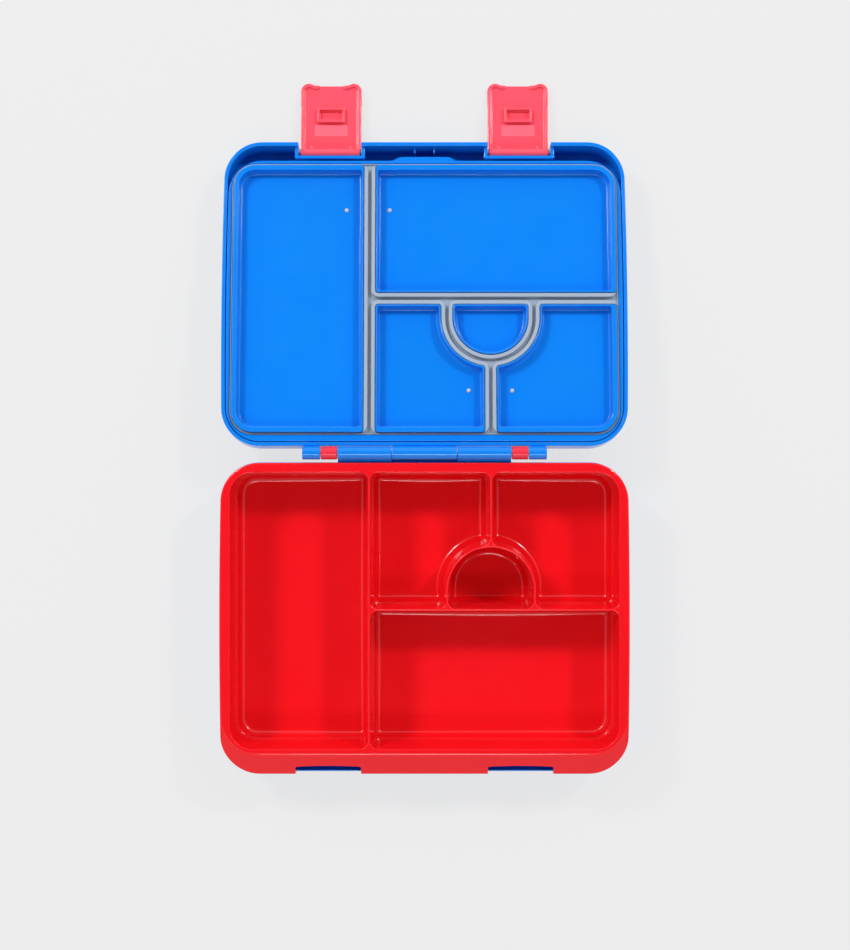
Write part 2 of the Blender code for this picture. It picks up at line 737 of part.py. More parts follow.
def make_lid(axis):
    top = LID_BOTTOM + LID_HEIGHT
    rings = []
    for inwards, below in reversed(fillet_profile(LID_FILLET)):
        rings.append(lift(lid_outline(inwards), top - below))
    outer, inner = lid_outline(0.0), lid_outline(LID_WALL)
    rings += [
        lift(outer, lid_level(outer)),
        lift(inner, lid_level(inner)),
        lift(inner, LID_CEILING - LID_INNER_FILLET),
        lift(lid_outline(LID_WALL + LID_INNER_FILLET), LID_CEILING),
    ]
    lid = make_object("lid_shell", loft("lid_shell", rings), BLUE, axis)
    for side, sign in SIDES.items():
        add_pocket(lid, axis, side, sign * LATCH_X)
    add_lid_knuckle(lid, axis, "centre", -CENTRE_KNUCKLE / 2, CENTRE_KNUCKLE / 2, 0.0)
    for side, sign in SIDES.items():
        start, end = knuckle_span(3, sign)
        add_lid_knuckle(lid, axis, side, start, end, NECK_SHOULDER)
    bore_reach = CENTRE_KNUCKLE / 2 - ROD_GRIP - 2 * FIT_GAP
    for side, sign in SIDES.items():
        far = sign * (abs(max(knuckle_span(3, sign), key=abs)) + CUT_OVERRUN)
        cut_bore(lid, f"lid bore {side}", *sorted((sign * bore_reach, far)), axis=axis)
    for number, (x, y) in enumerate(peg_places(), 1):
        boss = cylinder(
            f"boss {number}", BOSS_RADIUS, (x, y, PAN_TOP + FIT_GAP), (x, y, LID_CEILING + LID_TOP / 2)
        )
        boolean(lid, make_object(f"boss {number}", boss, axis=axis), "UNION")
        socket = cylinder(
            f"socket {number}",
            PEG_RADIUS + FIT_GAP,
            (x, y, PAN_TOP - CUT_OVERRUN),
            (x, y, PAN_CEILING + PEG_LENGTH + FIT_GAP),
        )
        boolean(lid, make_object(f"socket {number}", socket, axis=axis), "DIFFERENCE")
    for sign in (-1, 1):
        rib = box(
            f"rib {sign}",
            (sign * RIB_SPREAD / 2 - RIB_THICKNESS / 2, LID_FRONT + LID_WALL / 2, WEB_BOTTOM),
            (
                sign * RIB_SPREAD / 2 + RIB_THICKNESS / 2,
                LID_FRONT + LID_WALL + RIB_DEPTH,
                LID_CEILING + LID_TOP / 2,
            ),
        )
        boolean(lid, make_object(f"rib {sign}", rib, axis=axis), "UNION")


def add_pocket(lid, axis, side, x):
    """A pocket in the lid's front wall for a latch, with a hole for its pin in each cheek."""
    half = RECESS_WIDTH / 2
    cheeks = box(
        f"pocket cheeks {side}",
        (x - half - POCKET_WALL, LID_FRONT + LID_WALL - JOIN_OVERLAP, LID_BOTTOM),
        (x + half + POCKET_WALL, LID_FRONT + POCKET_DEPTH + POCKET_WALL, LID_CEILING + JOIN_OVERLAP),
    )
    boolean(lid, make_object(f"pocket cheeks {side}", cheeks, axis=axis), "UNION")
    space = box(
        f"latch pocket {side}",
        (x - half, LID_FRONT - CUT_OVERRUN, LID_BOTTOM - APRON_DROP - CUT_OVERRUN),
        (x + half, LID_FRONT + POCKET_DEPTH, LID_CEILING),
    )
    boolean(lid, make_object(f"latch pocket {side}", space, axis=axis), "DIFFERENCE")
    hole = latch_bar(f"pin hole {side}", LATCH_PIN_RADIUS + ROD_GAP, x, half + POCKET_WALL + CUT_OVERRUN)
    boolean(lid, make_object(f"pin hole {side}", hole, axis=axis), "DIFFERENCE")


# Seal plate, seal and pegs


def peg_places():
    half = PEG_SPREAD / 2
    return (
        (FRONT_PEG_X - half, FRONT_PEG_Y),
        (FRONT_PEG_X + half, FRONT_PEG_Y),
        (ARCH_X - half, BACK_PEG_Y),
        (ARCH_X + half, BACK_PEG_Y),
    )


def plug_outline(corners, extra):
    """The outside of a pan's ridge, which plugs into its compartment, moved inwards by extra."""
    return compartment_outline(corners, PLUG_RIM_INSET + extra, PLUG_DIVIDER_INSET + extra)


def pan_outline(corners, extra):
    """The inside of a pan's ridge, wide beside the rim and slim beside a divider, moved in by extra."""
    return compartment_outline(
        corners,
        PLUG_RIM_INSET + RIM_RIDGE + extra,
        PLUG_DIVIDER_INSET + DIVIDER_RIDGE + extra,
    )


def plate_outline():
    inset = LID_WALL + PLATE_GAP
    return box_outline(
        HALF_WIDTH - inset,
        OPENING_FRONT - PLATE_FRONT_LAP,
        LID_BACK - inset,
        CORNER_RADIUS - inset,
        SIDE_BOW,
    )


def pan_space(name, corners):
    """The hollow of a pan, from below its ridge to its ceiling."""
    slope = math.tan(PAN_DRAFT)
    low = PAN_BOTTOM - CUT_OVERRUN
    rings = [lift(pan_outline(corners, -CUT_OVERRUN * slope), low)]
    wall_end = (PAN_DEPTH - PAN_FILLET) * slope
    for inwards, below in fillet_profile(PAN_FILLET):
        rings.append(lift(pan_outline(corners, wall_end + inwards), PAN_CEILING - below))
    return loft(name, rings)


def make_seal_plate(axis):
    outer = plate_outline()
    groove = opening_outline(-SKIRT_GROOVE)
    skirt = RIM_Z + SKIRT_CLEAR
    rings = [
        lift(outer, WEB_BOTTOM + PLATE_WEB),
        lift(outer, skirt),
        lift(groove, skirt),
        lift(groove, WEB_BOTTOM),
    ]
    plate = make_object("seal_plate", loft("seal_plate", rings), BLUE, axis)
    front = OPENING_FRONT - PLATE_FRONT_LAP
    tab = np.array(
        [
            (-TAB_BASE / 2, front + JOIN_OVERLAP),
            (-TAB_BASE / 2, front),
            (-TAB_END / 2, front - TAB_REACH),
            (TAB_END / 2, front - TAB_REACH),
            (TAB_BASE / 2, front),
            (TAB_BASE / 2, front + JOIN_OVERLAP),
        ]
    )
    tab_bottom = skirt + FIT_GAP
    tab_mesh = prism("finger tab", tab, tab_bottom, tab_bottom + TAB_THICKNESS)
    boolean(plate, make_object("finger tab", tab_mesh, axis=axis), "UNION")
    pans = compartments()
    for name, corners in pans.items():
        cup = prism(f"pan {name}", plug_outline(corners, 0.0), PAN_BOTTOM, PAN_TOP)
        boolean(plate, make_object(f"pan {name}", cup, axis=axis), "UNION")
    for name, corners in pans.items():
        space = make_object(f"pan space {name}", pan_space(f"pan space {name}", corners), axis=axis)
        boolean(plate, space, "DIFFERENCE")
    for number, (x, y) in enumerate(peg_places(), 1):
        hole = cylinder(
            f"peg hole {number}",
            PEG_RADIUS + FIT_GAP,
            (x, y, PAN_CEILING - CUT_OVERRUN),
            (x, y, PAN_TOP + CUT_OVERRUN),
        )
        boolean(plate, make_object(f"peg hole {number}", hole, axis=axis), "DIFFERENCE")


def make_seal(axis):
    """A flat net round the five plugs, with a lip along each divider."""
    outer = opening_outline(-SEAL_OVERLAP)
    seal_bottom = RIM_Z + FIT_GAP
    net_bottom = SEAL_TOP - SEAL_THICKNESS
    seal = make_object("silicone_seal", prism("silicone_seal", outer, net_bottom, SEAL_TOP), GREY, axis)
    bead = prism("bead", outer, seal_bottom, net_bottom + JOIN_OVERLAP / 2)
    boolean(seal, make_object("bead", bead, axis=axis), "UNION")
    trough = prism("trough", opening_outline(FIT_GAP), seal_bottom - CUT_OVERRUN, net_bottom)
    boolean(seal, make_object("trough", trough, axis=axis), "DIFFERENCE")
    parted = compartments()
    for name, corners in parted.items():
        lip_outline = compartment_outline(corners, FIT_GAP, FIT_GAP)
        lip = prism(f"lip {name}", lip_outline, RIM_Z - LIP_REACH, net_bottom + JOIN_OVERLAP)
        boolean(seal, make_object(f"lip {name}", lip, axis=axis), "UNION")
    for name, corners in parted.items():
        hole = prism(
            f"seal hole {name}",
            plug_outline(corners, -FIT_GAP),
            RIM_Z - LIP_REACH - CUT_OVERRUN,
            SEAL_TOP + CUT_OVERRUN,
        )
        boolean(seal, make_object(f"seal hole {name}", hole, axis=axis), "DIFFERENCE")


def make_pegs(axis):
    for number, (x, y) in enumerate(peg_places(), 1):
        name = f"seal_peg_{number}"
        head = PAN_CEILING - FIT_GAP
        shank = cylinder(name, PEG_RADIUS, (x, y, head - PEG_HEAD / 2), (x, y, PAN_CEILING + PEG_LENGTH))
        peg = make_object(name, shank, PALE, axis)
        cap = cylinder(f"peg head {number}", PEG_HEAD_RADIUS, (x, y, head - PEG_HEAD), (x, y, head))
        boolean(peg, make_object(f"peg head {number}", cap, axis=axis), "UNION")


# Latches


def latch_bar(name, radius, x, half_length):
    return cylinder(name, radius, (x - half_length, PIVOT_Y, PIVOT_Z), (x + half_length, PIVOT_Y, PIVOT_Z))


def latch_outline(inset):
    """A latch seen from inside: across and down from the pivot, with an ear at each end of its tip."""
    half = LATCH_WIDTH / 2 - inset
    root, tip = -LATCH_BARREL + inset, LATCH_REACH - inset
    heel = max(ROOT_CORNER - inset, FIT_GAP)
    ear = max(LATCH_CORNER - inset, LEAST_FILLET)
    turn = np.linspace(0.0, math.pi / 2, CORNER_STEPS + 1)
    right_root = (half - heel + heel * np.sin(turn), root + heel - heel * np.cos(turn))
    right_ear = (half - ear + ear * np.cos(turn), tip - ear + ear * np.sin(turn))
    right = np.concatenate([np.column_stack(right_root), np.column_stack(right_ear)])
    start = half - ear
    across_tip = np.linspace(start, -start, TIP_STEPS + 1)[1:-1]
    share = np.clip((start - np.abs(across_tip)) / (EAR_WIDTH - LATCH_CORNER), 0.0, 1.0)
    dip = np.column_stack([across_tip, tip - EAR_RISE * share**2 * (3 - 2 * share)])
    return np.concatenate([right, dip, right[::-1] * (-1, 1)])


def latch_prism(name, outline, x, low, high):
    """An outline across and down from the pivot, carried inwards from the latch's outer face."""
    outer_face = SKIN_Y - LATCH_SKIN
    rings = []
    for depth in (low, high):
        y = np.full(len(outline), outer_face + depth)
        rings.append(np.column_stack([x + outline[:, 0], y, PIVOT_Z - outline[:, 1]]))
    return loft(name, rings)


def make_latch(side, x, axis):
    name = f"latch_{side}"
    rim = LATCH_SKIN + LATCH_RIM_HEIGHT
    body = latch_prism(name, latch_outline(0.0), x, 0.0, rim)
    latch = make_object(name, body, LATCH_RED, axis)
    inner_outline = latch_outline(LATCH_RIM)
    hollow = latch_prism(f"latch hollow {side}", inner_outline, x, LATCH_SKIN, rim + CUT_OVERRUN)
    boolean(latch, make_object(f"latch hollow {side}", hollow, axis=axis), "DIFFERENCE")
    tip = PIVOT_Z - LATCH_REACH
    rim_end = tip + EAR_RISE + LATCH_RIM
    gap = box(
        f"latch tip gap {side}",
        (x - TIP_GAP / 2, SKIN_Y, tip - CUT_OVERRUN),
        (x + TIP_GAP / 2, SKIN_Y + LATCH_RIM_HEIGHT + CUT_OVERRUN, rim_end + CUT_OVERRUN),
    )
    boolean(latch, make_object(f"latch tip gap {side}", gap, axis=axis), "DIFFERENCE")
    half = LATCH_WIDTH / 2 - ROOT_CORNER
    outer_face = SKIN_Y - LATCH_SKIN
    root = box(
        f"latch root {side}",
        (x - half, outer_face + LATCH_SKIN / 2, PIVOT_Z),
        (x + half, PIVOT_Y, PIVOT_Z + LATCH_BARREL),
    )
    boolean(latch, make_object(f"latch root {side}", root, axis=axis), "UNION")
    barrel = latch_bar(f"latch barrel {side}", LATCH_BARREL, x, half)
    boolean(latch, make_object(f"latch barrel {side}", barrel, axis=axis), "UNION")
    hook_top = PIVOT_Z - CATCH_DISTANCE
    hook = box(
        f"hook {side}",
        (x - HOOK_WIDTH / 2, SKIN_Y - LATCH_SKIN / 2, hook_top - HOOK_HEIGHT),
        (x + HOOK_WIDTH / 2, SKIN_Y + HOOK_DEPTH, hook_top),
    )
    boolean(latch, make_object(f"hook {side}", hook, axis=axis), "UNION")
    window = box(
        f"hook window {side}",
        (x - HOOK_WIDTH / 2 + HOOK_WALL, SKIN_Y, hook_top - HOOK_HEIGHT + HOOK_WALL),
        (x + HOOK_WIDTH / 2 - HOOK_WALL, SKIN_Y + HOOK_DEPTH + CUT_OVERRUN, hook_top - HOOK_LEDGE),
    )
    boolean(latch, make_object(f"hook window {side}", window, axis=axis), "DIFFERENCE")
    bore = latch_bar(f"latch bore {side}", LATCH_PIN_RADIUS + ROD_GAP, x, LATCH_WIDTH / 2 + CUT_OVERRUN)
    boolean(latch, make_object(f"latch bore {side}", bore, axis=axis), "DIFFERENCE")


def open_tilt():
    """How far past flat the lid lies when its front edge or its latches come down to the table."""
    contacts = (
        (HINGE_Y - LID_FRONT, LID_BOTTOM + LID_HEIGHT - HINGE_Z, LID_FILLET),
        (HINGE_Y - PIVOT_Y + LATCH_REACH, PIVOT_Z - HINGE_Z + PIVOT_Y - SKIN_Y + LATCH_SKIN, 0.0),
    )
    tilts = []
    for reach, depth, radius in contacts:
        across_lid, down = reach - radius, depth - radius
        height = HINGE_Z - FIT_GAP - radius
        tilts.append(math.atan2(across_lid, down) - math.acos(height / math.hypot(across_lid, down)))
    return min(tilts)


def main():
    for thing in list(bpy.data.objects):
        bpy.data.objects.remove(thing)
    collection_named("bento_lunch_box")
    collection_named("cutters")
    make_base()
    make_tray()
    make_hinge_pins()
    hinge = make_axis("lid_axis", (0.0, HINGE_Y, HINGE_Z))
    make_lid(hinge)
    make_seal_plate(hinge)
    make_seal(hinge)
    make_pegs(hinge)
    for side, sign in SIDES.items():
        x = sign * LATCH_X
        pivot = make_axis(f"latch_axis_{side}", (x, PIVOT_Y, PIVOT_Z), hinge)
        make_latch(side, x, pivot)
        pin = f"latch_pin_{side}"
        half = RECESS_WIDTH / 2 + POCKET_WALL
        make_object(pin, latch_bar(pin, LATCH_PIN_RADIUS, x, half), STEEL, hinge)
        pivot.rotation_euler.x = -math.pi / 2
    hinge.rotation_euler.x = -math.pi - open_tilt()


main()
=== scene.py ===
"""Finished surfaces of a bento lunch box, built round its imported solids.

Lid pieces are worked out in their closed place, where each fits the tray, and are then turned open on
the hinge.
"""

import json
import math
from collections import namedtuple
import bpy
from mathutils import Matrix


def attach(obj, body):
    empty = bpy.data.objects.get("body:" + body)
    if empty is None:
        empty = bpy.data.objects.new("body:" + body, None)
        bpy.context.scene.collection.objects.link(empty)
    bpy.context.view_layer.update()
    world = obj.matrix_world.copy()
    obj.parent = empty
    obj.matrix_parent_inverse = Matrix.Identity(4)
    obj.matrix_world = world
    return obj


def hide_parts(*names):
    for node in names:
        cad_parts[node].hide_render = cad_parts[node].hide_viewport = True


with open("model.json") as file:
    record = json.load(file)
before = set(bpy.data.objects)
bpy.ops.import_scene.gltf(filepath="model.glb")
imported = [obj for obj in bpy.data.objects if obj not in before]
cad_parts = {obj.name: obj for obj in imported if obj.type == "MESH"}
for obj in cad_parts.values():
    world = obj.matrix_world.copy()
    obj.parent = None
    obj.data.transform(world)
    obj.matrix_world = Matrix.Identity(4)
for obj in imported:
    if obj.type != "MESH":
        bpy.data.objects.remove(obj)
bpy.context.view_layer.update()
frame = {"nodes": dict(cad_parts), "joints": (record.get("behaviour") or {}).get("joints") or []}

from types import SimpleNamespace

import bmesh
import bpy
import numpy as np
from bpy.props import FloatProperty, FloatVectorProperty, PointerProperty
from mathutils import Matrix, Vector
from mathutils.geometry import tessellate_polygon

bl_info = {
    "name": "Bento lunch box",
    "version": (1, 0, 0),
    "blender": (4, 5, 0),
    "location": "3D View > Sidebar > Bento",
    "description": "Builds the moulded surfaces of a bento lunch box round its packed solids",
    "category": "Add Mesh",
}

JOINTS = {joint["name"]: joint for joint in frame["joints"]}
HINGE = Vector(JOINTS["lid_hinge"]["pos_m"])
LID_TURN = math.radians(JOINTS["lid_hinge"]["range_deg"][0])
LATCH_TURN = math.radians(JOINTS["latch_left_pivot"]["range_deg"][0])
SIDES = {"left": -1, "right": 1}
MM = 0.001

# Fineness of the curved stretches
CORNER_STEPS = 14
SIDE_STEPS = 24
ARCH_STEPS = 40
ROUND_STEPS = 64
EDGE_STEPS = 4
FILLET_STEPS = 8
TIP_STEPS = 120
# A round above this size gets the finer steps
SMALL_ROUND = 1.2 * MM
# Points nearer than this are welded, and edges that turn more than this stay sharp
WELD = 2e-6
SHARP = math.radians(38.0)
TINY = 1e-9

# How pieces are joined: a cutter runs on past what it cuts, and a joined piece bites into what carries it
JOIN = "UNION"
CUT = "DIFFERENCE"
OVERRUN = 2.0 * MM
BITE = 0.6 * MM

# Edges of small blocks and bars, from crisp to full, and the share of its round that a drawn-in rim keeps
CRISP = 0.1 * MM
SOFT = 0.15 * MM
PLAIN = 0.3 * MM
BLUNT = 0.4 * MM
BROAD = 0.45 * MM
FULL = 0.5 * MM
LEAST_SHARE = 0.1

# A flat floor is capped this far in from its wall, counted in radii of the round between them
SHELL_RUN = 2.5
FOOT_RUN = 2.0
PAN_RUN = 1.3
FLOOR_RUN = 1.05

# The camera's shift is counted in pixels of a picture this high
PICTURE_HEIGHT = 950


# Sizes and colours that a user would change


def linear(code):
    """An sRGB hex colour as linear red, green and blue: ((c + 0.055) / 1.055) ** 2.4 above the dark end."""
    value = np.array([int(code[at : at + 2], 16) for at in (1, 3, 5)]) / 255
    return tuple(np.where(value <= 0.04045, value / 12.92, ((value + 0.055) / 1.055) ** 2.4))


def length(name, description, millimetres):
    """A length, given in millimetres and kept in metres."""
    return FloatProperty(
        name=name, description=description, default=millimetres * MM, precision=5, unit="LENGTH"
    )


def slope(name, description, degrees):
    """An angle, given in degrees and kept in radians."""
    return FloatProperty(
        name=name, description=description, default=math.radians(degrees), subtype="ANGLE", unit="ROTATION"
    )


def colour(name, description, code):
    """A colour, given as an sRGB hex value and kept as linear values."""
    return FloatVectorProperty(
        name=name, description=description, default=linear(code), size=3, min=0.0, max=1.0, subtype="COLOR"
    )


def level(name, description, value):
    """A power or a share, which has no unit."""
    return FloatProperty(name=name, description=description, default=value)


class BoxSizes(bpy.types.PropertyGroup):
    """Plan of the box at its rim."""

    box_width: length("Width", "Width of the tray's rim at its widest", 216.0)
    box_length: length("Length", "Length of the tray's rim, front to back", 164.5)
    corner_radius: length("Corner", "Radius of the rim's four corners", 20.0)
    side_bow: length("Bow", "How far the left and right sides bow out", 1.0)
    fit_gap: length("Fit", "Clearance between pieces that meet", 0.3)


class TraySizes(bpy.types.PropertyGroup):
    """Lift-out tray and its dividers."""

    tray_depth: length("Depth", "Depth of the compartments", 34.0)
    tray_floor: length("Floor", "Thickness of the tray's floor", 1.8)
    tray_wall: length("Wall", "Thickness of the tray's outer wall", 1.4)
    tray_draft: slope("Draft", "Lean of the compartment walls", 4.0)
    tray_fillet: length("Floor round", "Round where a wall meets the floor", 4.0)
    tray_lip: length("Edge round", "Round along the top of the dividers and walls", 0.48)
    rim_thickness: length("Rim", "Thickness of the rim", 2.0)
    rim_side: length("Rim side", "Width of the rim at the sides", 5.5)
    rim_back: length("Rim back", "Width of the rim at the back", 5.25)
    rim_front: length("Rim front", "Width of the rim at the front, with its apron", 13.9)
    rim_edge: length("Rim edge", "Width of the rim's worn outer edge", 0.8)
    apron_run: length("Apron run", "How far back the front apron starts to fall", 10.7)
    apron_drop: length("Apron drop", "How far the apron falls at the front edge", 4.5)
    apron_lead: length("Apron lead", "Length over which the side edge follows the apron", 23.6)
    opening_radius: length("Opening corner", "Corner radius of the tray's whole opening", 12.0)
    divider_top: length("Divider", "Width of a divider's top", 1.0)
    divider_fillet: length("Divider corner", "Corner radius where dividers meet", 4.2)
    least_fillet: length("Least corner", "Smallest corner radius that is moulded", 1.4)
    long_divider_x: length("Long divider", "Place of the front-to-back divider", -29.2)
    cross_divider_y: length("Cross divider", "Place of the left-to-right divider", 4.9)
    arch_x: length("Arch centre", "Place of the round dip cup", 35.0)
    arch_radius: length("Arch radius", "Radius of the round dip cup's divider", 23.1)
    arch_leg: length("Arch leg", "Straight part of the dip cup's sides", 10.25)


class BaseSizes(bpy.types.PropertyGroup):
    """Outer shell below the tray, with the recesses that the latches lie in."""

    base_wall: length("Wall", "Thickness of the base's wall", 1.8)
    base_floor: length("Floor", "Thickness of the base's floor", 2.0)
    base_taper: length("Taper", "How far the wall leans in from rim to foot", 1.5)
    base_fillet: length("Foot round", "Round along the foot of the base", 5.0)
    base_reveal: length("Reveal", "How far the base stands proud of the tray's rim", 0.2)
    floor_gap: length("Floor gap", "Gap between the tray and the base's floor", 0.6)
    recess_depth: length("Recess depth", "Depth of a latch recess", 4.2)
    recess_floor: length("Recess floor", "Height of a latch recess above the table", 2.0)
    recess_bow: length("Recess bow", "Bow of a latch recess's back edge", 0.5)
    catch_distance: length("Catch distance", "From the latch pivot down to the catch", 18.5)
    catch_bar: length("Catch wall", "Thickness of the walls of the hollow catch", 0.6)
    slot_bite: length("Catch bite", "How far a catch's hollow cuts into the walls beside it", 0.2)


class LidSizes(bpy.types.PropertyGroup):
    """Shell of the lid."""

    lid_height: length("Height", "Height of the lid", 16.0)
    lid_wall: length("Wall", "Thickness of the lid's wall", 2.0)
    lid_top: length("Top", "Thickness of the lid's top", 2.0)
    lid_fillet: length("Top round", "Round along the lid's top edge", 4.0)
    lid_inner_fillet: length("Inner round", "Round between the lid's ceiling and wall", 2.0)
    lid_back_overhang: length("Overhang", "How far the lid stands out behind the rim", 1.3)
    lid_front_setback: length("Setback", "How far the lid stands back at the front", 2.0)
    rib_spread: length("Rib spread", "Distance between the two ribs behind the front wall", 10.4)
    rib_thickness: length("Rib", "Thickness of a rib", 1.0)
    rib_depth: length("Rib depth", "How far a rib stands out from the wall", 2.6)
    pocket_depth: length("Pocket depth", "Depth of a latch pocket", 6.7)
    pocket_wall: length("Pocket wall", "Thickness of a latch pocket's wall", 1.5)


class PlateSizes(bpy.types.PropertyGroup):
    """Seal plate in the lid, its silicone seal and its pegs."""

    plate_gap: length("Gap", "Gap between the plate and the lid's wall", 0.4)
    plate_front_lap: length("Front lap", "How far the plate reaches in front of the opening", 2.5)
    plate_web: length("Web", "Thickness of the plate's web", 1.6)
    plate_lift: length("Lift", "Height of the web over the tray's rim", 2.0)
    skirt_clear: length("Skirt clearance", "Height of the skirt over the tray's rim", 0.6)
    skirt_groove: length("Skirt groove", "Place of the seal's groove outside the opening", 0.8)
    plug_reach: length("Plug reach", "How far a pan's ridge reaches into its compartment", 2.0)
    plug_rim_inset: length("Plug inset", "Gap between a ridge and the outer wall", 0.55)
    plug_divider_inset: length("Plug divider inset", "Gap between a ridge and a divider", 2.8)
    rim_ridge: length("Rim ridge", "Width of a pan's ridge beside the rim", 2.6)
    divider_ridge: length("Divider ridge", "Width of a pan's ridge beside a divider", 0.9)
    pan_depth: length("Pan depth", "Depth of a pan", 7.0)
    pan_floor: length("Pan floor", "Thickness of a pan's floor", 1.6)
    pan_draft: slope("Pan draft", "Lean of a pan's wall", 4.0)
    pan_fillet: length("Pan round", "Round between a pan's wall and floor", 1.2)
    tab_base: length("Tab base", "Width of the finger tab at the plate", 36.0)
    tab_end: length("Tab end", "Width of the finger tab at its end", 25.0)
    tab_reach: length("Tab reach", "How far the finger tab stands out", 2.1)
    tab_thickness: length("Tab", "Thickness of the finger tab", 1.2)
    seal_overlap: length("Seal overlap", "How far the seal lies outside the opening", 0.5)
    lip_reach: length("Lip reach", "How far a lip reaches below the tray's rim", 1.5)
    lip_gap: length("Lip gap", "Gap between a lip and its divider", 0.42)
    seal_web: length("Seal web", "Thickness of the seal between two lips", 0.4)
    peg_radius: length("Peg", "Radius of a peg's shank", 0.8)
    peg_head_radius: length("Peg head", "Radius of a peg's head", 1.15)
    peg_head: length("Peg head height", "Height of a peg's head", 0.5)
    peg_length: length("Peg length", "Length of a peg above the pan's ceiling", 5.0)
    peg_spread: length("Peg spread", "Distance between two pegs of a pair", 23.0)
    front_peg_x: length("Front pegs X", "Place of the front pair of pegs across the lid", -30.3)
    front_peg_y: length("Front pegs Y", "Place of the front pair of pegs along the lid", -44.6)
    back_peg_y: length("Back pegs Y", "Place of the back pair of pegs along the lid", 53.4)
    boss_radius: length("Boss", "Radius of the lid's boss round a peg", 2.5)


class HingeSizes(bpy.types.PropertyGroup):
    """Hinge barrel behind the box."""

    barrel_radius: length("Barrel", "Radius of the hinge barrel", 3.5)
    barrel_round: length("Barrel edge", "Round at the ends of a knuckle", 0.35)
    rod_radius: length("Rod", "Radius of a hinge rod", 1.2)
    rod_gap: length("Rod gap", "Clearance round a rod or pin", 0.1)
    rod_grip: length("Rod grip", "How far a rod reaches into the centre knuckle", 12.0)
    centre_knuckle: length("Centre knuckle", "Length of the lid's centre knuckle", 34.0)
    base_knuckle: length("Base knuckle", "Length of a base knuckle", 28.3)
    collar_length: length("Collar", "Length of a collar", 8.6)
    outer_knuckle: length("Outer knuckle", "Length of the lid's outer knuckle", 9.4)
    bracket_depth: length("Bracket depth", "Height of the bracket below the hinge axis", 8.0)
    bracket_behind: length("Bracket back", "How far the bracket reaches behind the axis", 1.9)
    rail_thickness: length("Rail", "Thickness of the shelf under the centre knuckle", 1.4)
    neck_rise: length("Neck rise", "Height of a knuckle's neck over the axis", 2.8)
    neck_shoulder: length("Shoulder", "Step at the ends of an outer knuckle's neck", 0.8)


class LatchSizes(bpy.types.PropertyGroup):
    """Latches on the lid's front."""

    latch_x: length("Place", "Distance of a latch from the middle", 50.8)
    latch_width: length("Width", "Width of a latch", 33.2)
    latch_reach: length("Reach", "From the pivot to a latch's tip", 40.7)
    latch_skin: length("Skin", "Thickness of a latch's face", 1.7)
    latch_rim: length("Rim", "Width of the rim round a latch's inside", 2.0)
    slim_rim: length("Slim rim", "Width of what is left of that rim in the gap at the tip", 0.8)
    latch_rim_height: length("Rim height", "Height of that rim", 1.4)
    latch_corner: length("Ear corner", "Corner radius at a latch's tip", 4.5)
    latch_barrel: length("Barrel", "Radius of a latch's pivot barrel", 2.3)
    latch_waist: length("Waist", "How much narrower a latch is below its ears", 0.15)
    ear_rise: length("Ear rise", "How far the ears stand out past the tip's middle", 1.05)
    ear_width: length("Ear width", "Width of an ear", 8.0)
    ear_length: length("Ear length", "Length of an ear along the latch's side", 11.5)
    tip_gap: length("Tip gap", "Width of the gap in the rim at the tip", 12.7)
    root_corner: length("Root corner", "Corner radius at the pivot end", 1.6)
    pivot_height: length("Pivot height", "Height of the pivot over the tray's rim", 4.5)
    latch_pin_radius: length("Pin", "Radius of a latch's pin", 1.0)
    pocket_gap: length("Pocket gap", "Clearance at each side of a latch in its pocket", 0.35)
    latch_side_gap: length("Side gap", "Clearance at each side of a latch in the base", 0.7)
    hook_width: length("Hook width", "Width of the hook's frame", 14.8)
    hook_height: length("Hook height", "Height of the hook's frame", 8.2)
    hook_depth: length("Hook depth", "How far the hook stands out", 2.8)
    hook_wall: length("Hook wall", "Thickness of the hook's frame", 1.2)
    hook_ledge: length("Hook ledge", "Thickness of the hook's ledge", 1.8)
    pad_width: length("Pad width", "Width of the matt pad between the hook and the pivot", 18.0)
    pad_height: length("Pad height", "Height of that pad", 6.6)
    pad_rise: length("Pad rise", "How far that pad and the marks stand out", 0.12)
    mark_spread: length("Mark spread", "From the middle of a latch to an ejector pin's mark", 10.5)
    mark_distance: length("Mark distance", "From the pivot to that mark", 5.2)
    mark_radius: length("Mark radius", "Radius of that mark", 0.9)


class Colours(bpy.types.PropertyGroup):
    """Colours of the plastics, the silicone, the steel and the stage."""

    tray_red: colour("Tray", "Red of the moulded tray", "#F21520")
    shell_blue: colour("Shells", "Blue of the base, lid and seal plate", "#0A83EE")
    # A paler copy of the latches' coral: painted light for the extra light that the matt pads and marks catch
    latch_red: colour("Latches", "Coral red of the latches", "#FD5468")
    latch_pad: colour("Latch pads", "Paler coral of the matt pads", "#FF6478")
    collar_red: colour("Collars", "Red of the hinge collars", "#EE2F45")
    silicone_grey: colour("Seal", "Grey of the silicone seal", "#A0AEC0")
    peg_white: colour("Pegs", "Pale plastic of the pegs", "#B4C0CE")
    rod_steel: colour("Steel", "Steel of the rods and pins", "#C6C8CA")
    floor: colour("Floor", "Pale floor and backdrop", "#ECECEC")


class StageSizes(bpy.types.PropertyGroup):
    """Camera and lamps."""

    camera_height: length("Camera height", "Height of the camera over the tray's rim", 925.0)
    lens: FloatProperty(name="Lens", description="Focal length in millimetres", default=66.7, unit="CAMERA")
    shift_x: level("Shift X", "Sideways shift, as a share of the picture", 0.5 / PICTURE_HEIGHT)
    shift_y: level("Shift Y", "Upward shift, as a share of the picture", -22.1 / PICTURE_HEIGHT)
    left_lamp: level("Left lamp", "Power of the lamp on the left", 15.8)
    right_lamp: level("Right lamp", "Power of the lamp on the right", 12.0)
    front_lamp: level("Front lamp", "Power of the high lamp in front", 4.5)
    tent: level("Tent", "Strength of the pale walls of the light tent", 0.95)
    tent_front: level("Tent front", "Share of that strength in front", 0.8)
    tent_top: level("Tent top", "Strength of the tent's dim top", 0.06)


